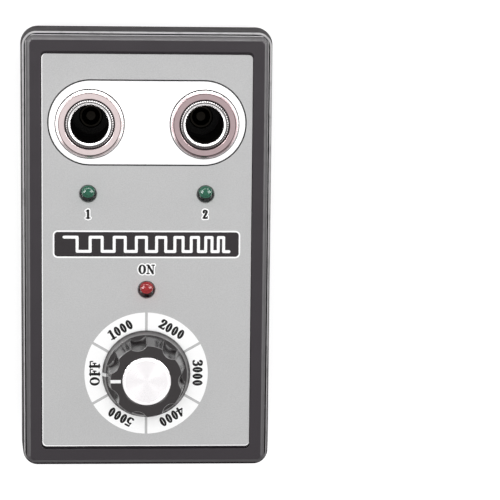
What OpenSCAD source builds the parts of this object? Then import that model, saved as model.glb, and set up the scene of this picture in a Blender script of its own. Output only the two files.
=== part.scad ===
// Bench tester for spark plugs: a two-part plastic case with a printed front label,
// two plug sockets with sprung high-voltage contacts, three lamps and a speed knob.
// Millimetres. The case lies on its back: Z rises out of the front, Y points to the sockets.

/* [Case] */
// Width of the flat front face
face_w = 66.8; // [66:0.1:90]
// Length of the flat front face
face_l = 121.6; // [121:0.1:160]
// Height of the front face above the table
face_h = 42; // [42:0.5:60]
// Width and depth of the bevel around the face
bevel = 1.1; // [0.4:0.1:2]
// How far the cover's side flares below the bevel
cover_flare = 0.2; // [0:0.05:0.6]
// Width of the lip around the cover's lower edge
lip_w = 0.15; // [0.1:0.05:0.6]
// Height of that lip above the base's rim
lip_show = 0.3; // [0.1:0.05:1]
// Height of the cover that shows above the base
cover_show = 4; // [3:0.1:8]
// Thickness of the cover's plate
plate_t = 2.4; // [1.6:0.1:3.5]
// Corner radius of the face
face_r = 1.5; // [0.8:0.1:4]
// Shadow gap between the cover and the base's rim
rim_gap = 0.25; // [0.2:0.05:0.8]
// Width of the base's rim around the cover
rim_w = 0.6; // [0.5:0.05:1.5]
// Depth of the step in the rim that carries the cover
rim_step = 1; // [0.5:0.1:2]
// Rounding of the rim's outer edge and of the foot
edge_r = 0.45; // [0.2:0.05:0.7]
// How far the base's widest line stands out from its rim
belt_out = 0.95; // [0:0.05:1.5]
// Depth of that widest line below the rim
belt_drop = 12.7; // [6:0.1:16]
// How far the foot draws in from the widest line
foot_in = 1.1; // [0.2:0.05:2]
// How far the base's inside draws in towards its floor
base_draft = 0.15; // [0:0.05:1]
// Wall of the base at its rim
base_wall = 1.95; // [1.8:0.05:3]
// Floor of the base
floor_t = 2.4; // [1.8:0.1:3]
// Corner radius of the base's rim
base_r = 4.2; // [3:0.1:6]
// Corner radius of the base's inside
cavity_r = 2.9; // [2.2:0.1:4]
// Depth of the cover's tongue below its seat
tongue_h = 2; // [1:0.1:4]
// Thickness of the cover's tongue
tongue_t = 1.4; // [1:0.1:2.5]
// Gap between the tongue and the base's wall
tongue_gap = 0.2; // [0.1:0.05:0.5]

/* [Case screws] */
// Shank diameter of the four case screws
screw_d = 2.8; // [2:0.1:3.2]
// Head diameter of the case screws
screw_head_d = 5.6; // [4.5:0.1:6]
// Head height of the case screws
screw_head_h = 2.2; // [1.5:0.1:3]
// Shank length of the case screws
screw_l = 18; // [10:0.5:20]
// Outer diameter of the screw towers
tower_d = 8.4; // [8.2:0.1:10]
// Depth of the screw seat above the table
screw_sink = 18; // [8:0.5:20]
// Plastic under the screw head
screw_seat = 4; // [2:0.1:5]
// Width of the cross slot in a case screw's head
slot_w = 0.8; // [0.5:0.1:1.2]
// Length of that slot
slot_l = 3.8; // [3:0.1:4.4]
// Depth of that slot
slot_depth = 1; // [0.6:0.1:1.4]

/* [Front label] */
// Width of the label
label_w = 60; // [58:0.1:64]
// Length of the label
label_l = 113.7; // [110:0.1:118]
// Thickness of the label
label_t = 0.25; // [0.15:0.05:0.5]
// Depth of the label's surface below the face
label_sink = 0.35; // [0.2:0.05:0.6]
// Corner radius of the label
label_r = 1.2; // [0.5:0.1:4]
// Gap around the label in its recess
label_gap = 0.2; // [0.1:0.05:0.4]

/* [Plug sockets] */
// Distance of each socket from the middle line
socket_x = 16.35; // [15:0.05:18]
// Place of the sockets along the case
socket_y = 37; // [35:0.1:39]
// Bore that takes a plug's insulator
bore_d = 10.7; // [10:0.1:11.5]
// Wall of the insulating sleeve inside the tube
sleeve_wall = 0.8; // [0.5:0.05:1.5]
// Wall of the threaded tube
tube_wall = 0.8; // [0.7:0.05:1.5]
// Gap between a plug and the tube's rim
lip_gap = 0.1; // [0.05:0.05:0.4]
// Thickness of the tube's rim
lip_t = 1.5; // [1:0.1:2.5]
// Height of the tube above the ring nut
tube_proud = 0.3; // [0:0.1:1]
// Chamfer of the tube's end
tube_chamfer = 0.6; // [0.3:0.05:0.7]
// Length of the tube behind its back nut
tube_tail = 2; // [1:0.5:4]
// Width of the front ring nut around the tube
ring_wall = 2.65; // [2:0.05:4]
// Height of the front ring nut
ring_h = 2; // [1.5:0.1:3]
// Bevel of the front ring nut
ring_bevel = 0.85; // [0.4:0.05:1.2]
// Width of the hexagonal back nut around the tube
back_nut_wall = 1.95; // [1.5:0.05:3]
// Thickness of the back nut
back_nut_t = 3; // [2:0.1:4]
// Thickness of the earth strip
link_t = 0.8; // [0.5:0.1:1.2]
// Width of the earth strip's tab for its lead
link_tab_w = 6; // [4:0.1:8]
// Width of the sleeve's shoulder under the tube
shoulder_w = 1.2; // [0.8:0.1:2]
// Wall of the guide ring around the sleeve's foot
guide_wall = 1.6; // [1.2:0.1:2]
// Height of that guide ring
guide_h = 3; // [2:0.1:4]

/* [High-voltage contacts] */
// Diameter of the contact plunger
plunger_d = 7; // [6:0.1:8]
// Width of the plunger's flange around it
flange_w = 0.5; // [0.4:0.05:0.8]
// Thickness of the plunger's flange
flange_t = 1; // [0.8:0.1:1.2]
// Thickness of the neck that keeps the plunger in
neck_t = 1.5; // [1:0.1:2]
// Travel of the plunger
plunger_travel = 3.5; // [2:0.1:3.5]
// Length of the contact spring when the plunger is pressed
spring_pressed = 3.35; // [3:0.05:4]
// Spring wire diameter
wire_d = 0.5; // [0.3:0.05:0.5]
// Curls of the contact spring
spring_turns = 4; // [3:1:4]
// Width of the terminal disc around the spring's chamber
terminal_w = 0.8; // [0.6:0.05:1.2]
// Thickness of the terminal disc
terminal_t = 1.2; // [0.8:0.1:1.4]
// Height of the pads under the terminal discs
pad_h = 1.2; // [0.8:0.1:1.4]
// How far the terminal discs overhang those pads
pad_edge = 1; // [0.5:0.1:1.5]
// Width of the terminal's tail
tail_w = 3; // [2:0.1:4]
// Depth of the cup in the plunger's head
cup_depth = 1.2; // [0.6:0.1:1.6]
// Rim around that cup
cup_rim = 0.8; // [0.6:0.1:1.2]
// Rounding of the plunger's head
plunger_edge = 0.3; // [0.2:0.05:0.4]
// Gap between the plunger's head and the end of the bore
plunger_sink = 0.3; // [0.2:0.05:0.6]

/* [Lamps] */
// Diameter of the lamps
led_d = 5; // [4.8:0.1:5.4]
// Length of a lamp's body
led_h = 8.6; // [8:0.1:9.2]
// Diameter of a lamp's flange
led_flange_d = 5.8; // [5.7:0.1:6.2]
// Thickness of that flange
led_flange_t = 1; // [0.8:0.1:1.2]
// Distance between a lamp's pins
led_pitch = 2.54; // [2:0.01:2.6]
// Wall of the cover's bosses around the lamps
led_boss_w = 1.3; // [1:0.1:1.6]
// Gap between a lamp's pins and its spacer
led_spacer_gap = 0.5; // [0.4:0.1:0.7]
// Height of a lamp above the label
led_proud = 2.8; // [2.5:0.1:3.6]
// Distance of the signal lamps from the middle line
led_x = 16.8; // [15:0.1:18]
// Place of the signal lamps along the case
led_y = 17; // [16:0.1:18]
// Place of the power lamp along the case
power_y = -10.75; // [-12:0.05:-9]

/* [Knob] */
// Place of the knob along the case
knob_y = -35.3; // [-36:0.1:-34]
// Diameter of the knob's skirt
skirt_d = 25.4; // [25:0.1:28]
// Height of the knob's skirt
skirt_h = 2.2; // [1.6:0.1:2.6]
// Straight edge at the foot of the skirt
skirt_edge = 0.7; // [0.4:0.1:1.2]
// Diameter of the skirt's top
skirt_top_d = 23.7; // [23.4:0.1:24.4]
// Diameter of the grip at its foot
grip_d = 23; // [22.4:0.1:23.4]
// Diameter of the grip at its top
grip_top_d = 20.7; // [20:0.1:22]
// Height of the knob's top above the label
knob_h = 12; // [11.4:0.1:14]
// Chamfer of the grip's top edge
grip_chamfer = 0.35; // [0.1:0.05:0.6]
// Number of scooped flutes
flutes = 7; // [5:1:9]
// Radius of a flute
flute_r = 3.3; // [2.6:0.1:4]
// Depth of a flute
flute_depth = 1.25; // [0.6:0.05:1.3]
// Gap between the knob and the label
knob_gap = 0.4; // [0.3:0.05:0.8]
// Diameter of the metal cap
cap_d = 13.9; // [13:0.1:15]
// Thickness of the metal cap
cap_t = 0.8; // [0.5:0.1:1]
// Depth of the cap's face below the knob's top
cap_sink = 0.1; // [0:0.05:0.4]
// Width of the step around the cap's face
cap_step_w = 0.35; // [0.2:0.05:0.6]
// Depth of that step
cap_step_h = 0.15; // [0.1:0.05:0.4]
// Plastic between the cap and the insert
web_t = 1.2; // [0.8:0.1:1.6]
// Width of the white pointer line
pointer_w = 0.95; // [0.6:0.05:1.4]
// Depth of the pointer line
pointer_t = 0.3; // [0.2:0.05:0.5]
// Gap between the pointer line and the cap's pocket
pointer_gap = 0.4; // [0.2:0.05:0.8]
// Outer diameter of the brass insert
insert_d = 8; // [7.4:0.1:9]
// Diameter of the set screw
set_d = 3; // [2.5:0.1:3.2]
// Length of the set screw
set_l = 5; // [4:0.1:6]
// Depth of the set screw's socket
set_socket = 1.5; // [1:0.1:2]
// Brass between the set screw and the insert's foot
set_edge = 0.6; // [0.4:0.1:0.8]
// Height of the room under the knob for the nut
knob_room = 3.6; // [3.4:0.1:4]
// Diameter of that room
knob_room_d = 14; // [13:0.1:16]

/* [Speed control] */
// Diameter of the control's shaft
shaft_d = 6; // [5:0.1:6]
// Depth of the flat on the shaft's end
shaft_flat = 0.5; // [0.3:0.05:0.8]
// Diameter of the threaded bush
bush_d = 7.6; // [7.4:0.1:8]
// Height of the bush above the label
bush_up = 3.2; // [2.8:0.1:3.3]
// Diameter of the control's can
can_d = 16.8; // [16:0.1:18]
// Height of the control's can
can_h = 9.5; // [8.5:0.1:10.5]
// Wall of the can
can_wall = 1.2; // [0.8:0.1:1.5]
// Width of the can's rim under the bush
bush_lap = 0.5; // [0.3:0.05:0.8]
// Height of the rotor disc above the can's floor
rotor_up = 2; // [1:0.1:3]
// Thickness of the rotor disc
rotor_t = 2; // [1:0.1:3]
// Width of the bush's nut across its flats
nut_af = 10; // [9.6:0.1:10.4]
// Thickness of the bush's nut
nut_t = 2; // [1.5:0.1:2.2]
// Width of the control's tags
tag_w = 1.2; // [0.8:0.1:1.6]
// Thickness of the control's tags
tag_t = 0.5; // [0.3:0.1:0.8]
// Distance between the control's tags
tag_pitch = 5; // [4:0.1:6]
// Length of the control's tags beyond the can
tag_l = 2.5; // [2:0.1:3]
// Thickness of the washer
washer_t = 0.5; // [0.3:0.1:0.6]
// Diameter of the washer
washer_d = 12; // [11.5:0.1:12.4]

/* [Circuit board] */
// Distance of the board's posts from the middle line
post_x = 23.4; // [22:0.1:24]
// Place of the upper posts along the case
post_y1 = 3; // [0:0.1:6]
// Place of the lower posts along the case
post_y0 = -47.4; // [-49:0.1:-47]
// Board outside the posts' axes
board_margin = 3.6; // [3.4:0.1:4]
// Board beyond the upper posts
board_head = 21; // [20:0.1:22]
// Thickness of the board
board_t = 1.6; // [1:0.1:2]
// Corner radius of the board
board_r = 1; // [0.5:0.1:2]
// Depth of the board's upper face below the cover's plate
board_drop = 14; // [13:0.1:15]
// Air between the winding and the board
board_air = 3.6; // [2.5:0.1:5]
// Diameter of the board's posts
post_d = 6; // [5:0.1:6.5]
// Diameter of the board's and the coil's screws
board_screw_d = 2.5; // [2:0.1:2.8]
// Head height of those screws
board_head_h = 1.6; // [1:0.1:2]
// Depth of those screws in their posts
board_grip = 7; // [4:0.5:8]

/* [Parts on the board] */
// Length of the timer's body
chip_l = 9.6; // [9:0.1:10]
// Width of the timer's body
chip_w = 6.4; // [6:0.1:7]
// Height of the timer's body
chip_h = 3.2; // [2.5:0.1:4]
// Height of the timer above the board
chip_lift = 0.6; // [0.3:0.1:1]
// Width of the timer's legs
chip_leg = 0.5; // [0.4:0.05:0.7]
// Distance between the timer's legs
chip_pitch = 2.54; // [2:0.01:2.6]
// Distance of the timer and the resistors from the board's long edges
part_inset = 13; // [11:0.5:14]
// Distance of the timer and the resistors from the board's upper end
part_drop = 32; // [30:0.5:36]
// Diameter of the capacitor
capacitor_d = 10; // [8:0.1:12]
// Length of the capacitor
capacitor_l = 14; // [10:0.1:16]
// Distance of the capacitor and the transistor from the board's long edges
power_inset = 9; // [8:0.5:10]
// Distance of the capacitor and the transistor from the board's lower end
power_drop = 21; // [19:0.5:23]
// Width of the transistor
fet_w = 10; // [8:0.1:12]
// Thickness of the transistor
fet_t = 4.4; // [3:0.1:5]
// Height of the transistor's body
fet_h = 9; // [7:0.1:10]
// Length of the transistor's legs
fet_leg_l = 4; // [3:0.1:5]
// Thickness of the transistor's metal tab
fet_tab_t = 1.3; // [1:0.1:2]
// Length of that tab below the body
fet_tab_l = 3; // [2:0.1:4]
// Width of the heat sink
sink_w = 16; // [14:0.1:18]
// Height of the heat sink
sink_h = 17; // [14:0.1:18]
// Thickness of the heat sink's plate and fins
sink_t = 1.5; // [1:0.1:2]
// Length of the heat sink's fins
fin_l = 7; // [4:0.1:8]
// Number of fins
fins = 5; // [3:1:5]
// Diameter of a resistor
resistor_d = 2.3; // [1.8:0.1:2.6]
// Length of a resistor
resistor_l = 6.3; // [5:0.1:7]
// Distance between a resistor's wires
resistor_span = 10.2; // [9:0.1:11]
// Distance between resistors
resistor_pitch = 5; // [4:0.1:6]
// Diameter of the wires that stand on the board
pin_d = 0.6; // [0.4:0.05:0.8]

/* [Ignition coil] */
// Outer length of the laminated core
core_w = 44; // [42:0.5:46]
// Outer width of the laminated core
core_l = 24; // [23:0.5:26]
// Width of the core's legs
core_leg = 7; // [6:0.1:7.5]
// Thickness of the core
core_t = 9; // [8:0.1:9.5]
// Height of the core's posts above the floor
core_lift = 4.6; // [4:0.1:5]
// Place of the core along the case
core_y = -2; // [-3:0.1:-1]
// Width of the moulded winding
coil_w = 26; // [24:0.5:28]
// Length of the moulded winding
coil_l = 18; // [17:0.1:18.5]
// Corner radius of the moulded winding
coil_r = 2; // [1:0.1:3]
// Wall of the high-voltage towers around their leads
hv_tower_wall = 1.8; // [1.2:0.1:2.4]
// Length of those towers
hv_tower_l = 3.5; // [2:0.1:5]
// How far the core's legs overhang their posts
core_post_edge = 0.5; // [0.3:0.1:1]
// Diameter of the high-voltage leads
hv_lead_d = 2.4; // [1.8:0.1:2.8]

/* [Supply inlet] */
// Height of the inlet's axis above the table
jack_z = 15; // [13:0.1:15.5]
// Diameter of the inlet's threaded barrel
jack_d = 8; // [7.8:0.1:8.4]
// Opening for the supply plug
jack_bore_d = 5.9; // [5.6:0.1:6.2]
// Depth of that opening
jack_depth = 9.5; // [9:0.1:10]
// Diameter of the centre pin
jack_pin_d = 2.1; // [1.8:0.1:2.5]
// Diameter of the inlet's ring nut
jack_nut_d = 11.6; // [11:0.1:12]
// Thickness of that nut
jack_nut_t = 1.6; // [1.2:0.1:1.8]
// Plastic between the nut and the flange
jack_pad_t = 2.5; // [2:0.1:3]
// Plastic around the nut's recess in the inlet's pad
jack_pad_edge = 2.5; // [2:0.1:3]
// Wall that the inlet's rear body adds to its barrel
jack_rear_wall = 0.7; // [0.4:0.1:1]
// Depth of the pin's tip behind the inlet's mouth
jack_pin_set = 1; // [0.6:0.1:2]
// Step between the pin and its root
jack_root_step = 0.2; // [0.1:0.05:0.4]
// Length of the inlet's rear body
jack_rear = 7; // [6:0.1:8]
// Thickness of the inlet's flange
jack_flange_t = 1.5; // [1:0.1:2]
// Distance of the solder tags from the inlet's axis
jack_lug_x = 2.6; // [2.2:0.1:3]
// Length of the solder tags
jack_lug_l = 4; // [3:0.1:5]
// Width of the solder tags
jack_lug_w = 1.6; // [1.2:0.1:2]
// Diameter of the low-voltage leads
lead_d = 1.5; // [1:0.1:1.6]

/* [Hidden] */
$fn = 64;
// Radial gap between pieces that fit together
fit = 0.05;
// Radial gap between the shaft and the insert that it is clamped in
press = 0.02;
// Gap between pieces that move past each other
clear = 0.3;
// Overlap that joins the parts of one solid
join = 0.5;
// Thickness of the layers that a loft spans
layer = 0.01;

// Sizes of the case
side_w = face_w + 2 * (bevel + cover_flare);
side_l = face_l + 2 * (bevel + cover_flare);
cover_w = side_w + 2 * lip_w;
cover_l = side_l + 2 * lip_w;
base_w = cover_w + 2 * (rim_gap + rim_w);
base_l = cover_l + 2 * (rim_gap + rim_w);
cover_r = face_r + bevel;
rim_z = face_h - cover_show;
belt_w = base_w + 2 * belt_out;
belt_l = base_l + 2 * belt_out;
belt_r = base_r + belt_out;
belt_z = rim_z - belt_drop;
foot_w = belt_w - 2 * foot_in;
foot_l = belt_l - 2 * foot_in;
foot_r = belt_r - foot_in;
ledge_z = rim_z - rim_step;
cavity_w = base_w - 2 * base_wall;
cavity_l = base_l - 2 * base_wall;
tongue_w = cavity_w - 2 * tongue_gap;
tongue_l = cavity_l - 2 * tongue_gap;
plate_z = face_h - plate_t;
label_z = face_h - label_sink;
recess_z = label_z - label_t;

// Case screws
tower_x = cavity_w / 2 - tower_d / 2 - clear;
tower_y = cavity_l / 2 - tower_d / 2 - clear;
tower_top = screw_sink + screw_seat;
boss_d = tower_d - 2 * clear;

// Plug sockets, from the bore outwards
lip_d = bore_d + 2 * lip_gap;
tube_bore_d = bore_d + 2 * (sleeve_wall + fit);
tube_d = tube_bore_d + 2 * tube_wall;
ring_d = tube_d + 2 * (fit + ring_wall);
back_nut_af = tube_d + 2 * (fit + back_nut_wall);
sleeve_d = tube_d + 2 * shoulder_w;

// Contacts, from the floor up to the bore's end
flange_d = plunger_d + 2 * flange_w;
chamber_d = flange_d + 2 * clear;
terminal_d = chamber_d + 2 * terminal_w;
seat_d = terminal_d + 2 * fit;
terminal_z = floor_t + pad_h;
spring_z = terminal_z + terminal_t;
spring_d = flange_d - 2 * wire_d - 2 * clear;
spring_l = spring_pressed + plunger_travel;
flange_z = spring_z + spring_l;
neck_z = flange_z + flange_t + clear;
bore_z = neck_z + neck_t;
tail_end = sleeve_d / 2 + tail_w;

// Tubes, from the label's ring nut down to the sleeve's shoulder
tube_top = label_z + ring_h + tube_proud;
lip_z = tube_top - lip_t;
link_z = plate_z - link_t;
back_nut_z = link_z - back_nut_t;
tube_z = back_nut_z - tube_tail;

// Lamps
led_top = label_z + led_proud;
led_z = led_top - led_h;
lamp_places = [[0, power_y], [-led_x, led_y], [led_x, led_y]];

// Knob and control
knob_z = label_z + knob_gap;
knob_top = label_z + knob_h;
cap_z = knob_top - cap_t - cap_sink;
pocket_d = cap_d + 4 * fit;
insert_z = knob_z + knob_room;
insert_top = cap_z - web_t;
grip_tilt = atan((grip_d - grip_top_d) / 2 / (knob_top - knob_z - skirt_h));
can_z = plate_z - can_h;
rotor_z = can_z + can_wall + rotor_up;
set_z = insert_z + set_d / 2 + set_edge;

// Circuit board
board_top = plate_z - board_drop;
board_z = board_top - board_t;
board_w = 2 * (post_x + board_margin);
board_y1 = post_y1 + board_head;
board_y0 = post_y0 - board_margin;
board_mid = (board_y0 + board_y1) / 2;
board_l = board_y1 - board_y0;
part_x = board_w / 2 - part_inset;
part_y = board_y1 - part_drop;
power_x = board_w / 2 - power_inset;
power_y0 = board_y0 + power_drop;
fet_back = power_y0 - fet_t / 2;

// Coil
core_z = floor_t + core_lift;
leg_y = core_y + core_l / 2 - core_leg / 2;
core_post_x = core_w / 2 - core_leg / 2;
core_post_y = core_y - core_l / 2 + core_leg / 2;
tower_z = core_z + core_t / 2;
hv_tower_x = coil_w / 4;
coil_end = leg_y + coil_l / 2;
coil_top = board_z - board_air;

// Supply inlet, along the lower end wall
jack_face = -(belt_l / 2 - foot_in * (1 - (jack_z - jack_nut_d / 2) / belt_z));
jack_seat = jack_face + jack_nut_t + clear;
jack_pad = jack_seat + jack_pad_t;
jack_back = jack_pad + jack_flange_t + jack_rear;
jack_floor = jack_face + clear + jack_depth;
jack_tip = jack_face + clear + jack_pin_set;
jack_root_d = jack_pin_d - 2 * jack_root_step;

// Rounded rectangle about the origin
module round_rect(w, l, r) {
    square([w - 2 * r, l], center = true);
    square([w, l - 2 * r], center = true);
    for (x = [-1, 1], y = [-1, 1])
        translate([x * (w / 2 - r), y * (l / 2 - r)]) circle(r);
}

// Upright slab with rounded corners, from z0 to z1
module slab(w, l, r, z0, z1) {
    translate([0, 0, z0]) linear_extrude(z1 - z0) round_rect(w, l, r);
}

// Levels of a rounded edge of radius e about height z, below it (side -1) or above it (side 1)
function rounded_edge(w, l, r, e, z, side) = [
    for (a = side < 0 ? [90, 60, 30, 0] : [0, 30, 60, 90])
        let (draw = e * (1 - cos(a))) [z + side * e * sin(a), w - 2 * draw, l - 2 * draw, r - draw]
];

// Smooth block through levels of [height, width, length, corner radius], lowest first
module loft(levels) {
    last = levels[len(levels) - 1][0] - layer;
    hull() for (v = levels)
        slab(v[1], v[2], v[3], min(v[0], last), min(v[0], last) + layer, $fn = 32);
}

// Tube between two radii, from z0 to z1
module ring(r0, r1, z0, z1) {
    translate([0, 0, z0]) difference() {
        cylinder(r = r1, h = z1 - z0);
        translate([0, 0, -1]) cylinder(r = r0, h = z1 - z0 + 2);
    }
}

// Upright rod from z0 to z1
module rod(d, z0, z1) {
    translate([0, 0, z0]) cylinder(d = d, h = z1 - z0);
}

// Hexagonal nut across flats af, with a round hole
module hex_nut(af, hole_d, z0, z1) {
    translate([0, 0, z0]) difference() {
        cylinder(d = af / cos(30), h = z1 - z0, $fn = 6);
        translate([0, 0, -1]) cylinder(d = hole_d, h = z1 - z0 + 2);
    }
}

// Round wire along a list of points, with ball corners
module lead(points, d) {
    for (i = [1 : len(points) - 1]) {
        a = points[i - 1];
        v = points[i] - a;
        translate(a) rotate([0, acos(v[2] / norm(v)), atan2(v[1], v[0])])
            cylinder(d = d, h = norm(v), $fn = 24);
        if (i < len(points) - 1) translate(points[i]) sphere(d = d + 2 * fit, $fn = 24);
    }
}

// Copies at the four posts of the board
module at_posts() {
    for (x = [-post_x, post_x], y = [post_y0, post_y1]) translate([x, y, 0]) children();
}

// Copies at the four corners of a rectangle
module corners(x, y) {
    for (i = [-1, 1], j = [-1, 1]) translate([i * x, j * y, 0]) children();
}

// Places a left or right socket piece
module at_socket(side) {
    translate([side * socket_x, socket_y, 0]) children();
}

// Places a piece along the supply inlet's axis, with its Z pointing into the case
module at_jack() {
    translate([0, 0, jack_z]) rotate([-90, 0, 0]) children();
}

// Tub with screw towers, socket guides, coil posts and the inlet's pad
module base_shell() {
    pad_w = jack_nut_d + 2 * jack_pad_edge;
    guide_r = sleeve_d / 2 + fit;
    color("#3d3a3c") difference() {
        union() {
            difference() {
                loft(concat(
                    rounded_edge(foot_w, foot_l, foot_r, edge_r, edge_r, -1),
                    [[belt_z, belt_w, belt_l, belt_r]],
                    rounded_edge(base_w, base_l, base_r, edge_r, rim_z - edge_r, 1)
                ));
                loft([
                    [floor_t, cavity_w - 2 * base_draft, cavity_l - 2 * base_draft, cavity_r],
                    [rim_z + 1, cavity_w, cavity_l, cavity_r]
                ]);
                slab(cover_w + 2 * rim_gap, cover_l + 2 * rim_gap, cover_r + rim_gap, ledge_z, rim_z + 1);
            }
            corners(tower_x, tower_y) rod(tower_d, floor_t - join, tower_top);
            for (side = [-1, 1]) at_socket(side) {
                ring(guide_r, guide_r + guide_wall, floor_t - join, floor_t + guide_h);
                rod(terminal_d - 2 * pad_edge, floor_t - join, terminal_z);
            }
            for (x = [-1, 1]) translate([x * core_post_x, core_post_y, 0])
                rod(core_leg - 2 * core_post_edge, floor_t - join, core_z);
            translate([-pad_w / 2, jack_seat - join, jack_z - pad_w / 2])
                cube([pad_w, jack_pad_t + join, pad_w]);
        }
        corners(tower_x, tower_y) {
            rod(screw_head_d + 2 * clear, -1, screw_sink);
            rod(screw_d + 2 * clear, screw_sink - 1, tower_top + 1);
        }
        for (side = [-1, 1]) at_socket(side)
            translate([-tail_w / 2 - clear, -tail_end - join, floor_t])
                cube([tail_w + 2 * clear, tail_end, guide_h + join]);
        for (x = [-1, 1]) translate([x * core_post_x, core_post_y, 0])
            rod(board_screw_d + 2 * fit, floor_t, core_z + 1);
        at_jack() {
            rod(jack_nut_d + 2 * clear, jack_face - 2, jack_seat);
            rod(jack_d + 2 * fit, jack_seat - 1, jack_pad + 1);
        }
    }
}

// Lid with bevelled edge, label recess, lamp bosses, screw bosses and board posts
module front_cover() {
    color("#464145") difference() {
        union() {
            difference() {
                union() {
                    loft([
                        [ledge_z, side_w, side_l, cover_r],
                        [face_h - bevel, side_w - 2 * cover_flare, side_l - 2 * cover_flare, cover_r],
                        [face_h, face_w, face_l, face_r]
                    ]);
                    slab(cover_w, cover_l, cover_r + lip_w, ledge_z, rim_z + lip_show);
                    slab(tongue_w, tongue_l, cavity_r - tongue_gap, ledge_z - tongue_h, ledge_z + join);
                }
                slab(tongue_w - 2 * tongue_t, tongue_l - 2 * tongue_t, cavity_r - tongue_gap,
                     ledge_z - tongue_h - 1, plate_z);
            }
            corners(tower_x, tower_y) rod(boss_d, tower_top, plate_z + join);
            at_posts() rod(post_d, board_top, plate_z + join);
            for (p = lamp_places) translate(p)
                rod(led_flange_d + 2 * led_boss_w, led_z + led_flange_t, plate_z + join);
        }
        slab(label_w + 2 * label_gap, label_l + 2 * label_gap, label_r + label_gap, recess_z, face_h + 1);
        for (side = [-1, 1]) at_socket(side) rod(tube_d + 2 * fit, plate_z - 1, face_h + 1);
        for (p = lamp_places) translate(p) rod(led_d + 2 * fit, led_z, face_h + 1);
        translate([0, knob_y, 0]) rod(bush_d + 2 * fit, plate_z - 1, face_h + 1);
        corners(tower_x, tower_y) rod(screw_d + 2 * fit, tower_top - 1, screw_sink + screw_l + 1);
        at_posts() rod(board_screw_d + 2 * fit, board_top - 1, board_top + board_grip + 1);
    }
}

// Four long screws up through the towers into the cover
module cover_screws() {
    color("#9a9ca0") corners(tower_x, tower_y) difference() {
        union() {
            rod(screw_d, screw_sink - join, screw_sink + screw_l);
            rod(screw_head_d, screw_sink - screw_head_h, screw_sink);
        }
        for (a = [0, 90]) rotate(a) translate([-slot_l / 2, -slot_w / 2, screw_sink - screw_head_h - join])
            cube([slot_l, slot_w, slot_depth + join]);
    }
}

// Printed metal label in the cover's recess
module front_label() {
    color("#c5c5c5") difference() {
        slab(label_w, label_l, label_r, recess_z, label_z);
        for (side = [-1, 1]) at_socket(side) rod(tube_d + 2 * fit, recess_z - 1, label_z + 1);
        for (p = lamp_places) translate(p) rod(led_d + 2 * fit, recess_z - 1, label_z + 1);
        translate([0, knob_y, 0]) rod(bush_d + 2 * fit, recess_z - 1, label_z + 1);
    }
}

// Nickel tube whose rim earths the plug's shell
module socket_tube(side) {
    r = tube_d / 2;
    lip = lip_d / 2;
    color("#d8d4d2") at_socket(side) rotate_extrude() polygon([
        [tube_bore_d / 2, tube_z], [r, tube_z], [r, tube_top - tube_chamfer], [r - tube_chamfer, tube_top],
        [lip + tube_chamfer / 2, tube_top], [lip, tube_top - tube_chamfer / 2], [lip, lip_z],
        [tube_bore_d / 2, lip_z]
    ]);
}

// Round bevelled nut on the label
module socket_nut(side) {
    hole = tube_d / 2 + fit;
    r = ring_d / 2;
    top = label_z + ring_h;
    color("#d9cdca") at_socket(side) rotate_extrude() polygon([
        [hole, label_z], [r, label_z], [r, top - ring_bevel], [r - ring_bevel, top], [hole, top]
    ]);
}

// Hexagonal nut behind the earth strip
module socket_back_nut(side) {
    color("#c9c7c2") at_socket(side) hex_nut(back_nut_af, tube_d + 2 * fit, back_nut_z, link_z);
}

// Brass strip that joins both tubes to earth
module earth_link() {
    eye_d = back_nut_af;
    color("#c9a95b") translate([0, 0, link_z]) linear_extrude(link_t) difference() {
        union() {
            for (side = [-1, 1]) translate([side * socket_x, socket_y]) circle(d = eye_d);
            translate([-socket_x, socket_y - eye_d / 4]) square([2 * socket_x, eye_d / 2]);
            translate([-link_tab_w / 2, socket_y - eye_d / 2]) square([link_tab_w, eye_d / 2]);
        }
        for (side = [-1, 1]) translate([side * socket_x, socket_y]) circle(d = tube_d + 2 * fit);
    }
}

// Black insulator with the plug's bore above and the contact's chamber below
module socket_sleeve(side) {
    r = sleeve_d / 2;
    neck = plunger_d / 2 + fit;
    inner = tube_bore_d / 2 - fit;
    color("#1c1b1d") at_socket(side) difference() {
        rotate_extrude() polygon([
            [seat_d / 2, floor_t], [r, floor_t], [r, tube_z], [inner, tube_z], [inner, lip_z],
            [bore_d / 2, lip_z], [bore_d / 2, bore_z], [neck, bore_z], [neck, neck_z],
            [chamber_d / 2, neck_z], [chamber_d / 2, spring_z], [seat_d / 2, spring_z]
        ]);
        translate([-tail_w / 2 - clear, -r - join, floor_t - join])
            cube([tail_w + 2 * clear, r + join, spring_z - floor_t + join]);
    }
}

// Brass disc under the spring, with a tail for the lead
module hv_terminal(side) {
    color("#c9a95b") at_socket(side) {
        rod(terminal_d, terminal_z, spring_z);
        translate([-tail_w / 2, -tail_end, terminal_z]) cube([tail_w, tail_end, terminal_t]);
    }
}

// Points of the spring's wire: rings of sides points round a helix
spring_sides = 6;
spring_rings = 8 * spring_turns;
function helix(t) = [
    spring_d / 2 * cos(360 * spring_turns * t),
    spring_d / 2 * sin(360 * spring_turns * t),
    spring_z + wire_d / 2 + fit + (spring_l - wire_d - 2 * fit) * t
];
function wire_ring(t) = let (a = 360 * spring_turns * t) [
    for (k = [0 : spring_sides - 1]) let (b = 360 * k / spring_sides)
        helix(t) + wire_d / 2 * [cos(b) * cos(a), cos(b) * sin(a), sin(b)]
];
spring_points = [for (i = [0 : spring_rings]) each wire_ring(i / spring_rings)];
spring_faces = concat(
    [for (i = [0 : spring_rings - 1], k = [0 : spring_sides - 1])
        let (n = spring_sides, a = i * n + k, b = i * n + (k + 1) % n)
            each [[a, a + n, b], [b, a + n, b + n]]],
    [for (k = [1 : spring_sides - 2]) [0, k, k + 1]],
    [for (k = [1 : spring_sides - 2]) let (e = spring_rings * spring_sides) [e, e + k + 1, e + k]]
);
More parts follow.
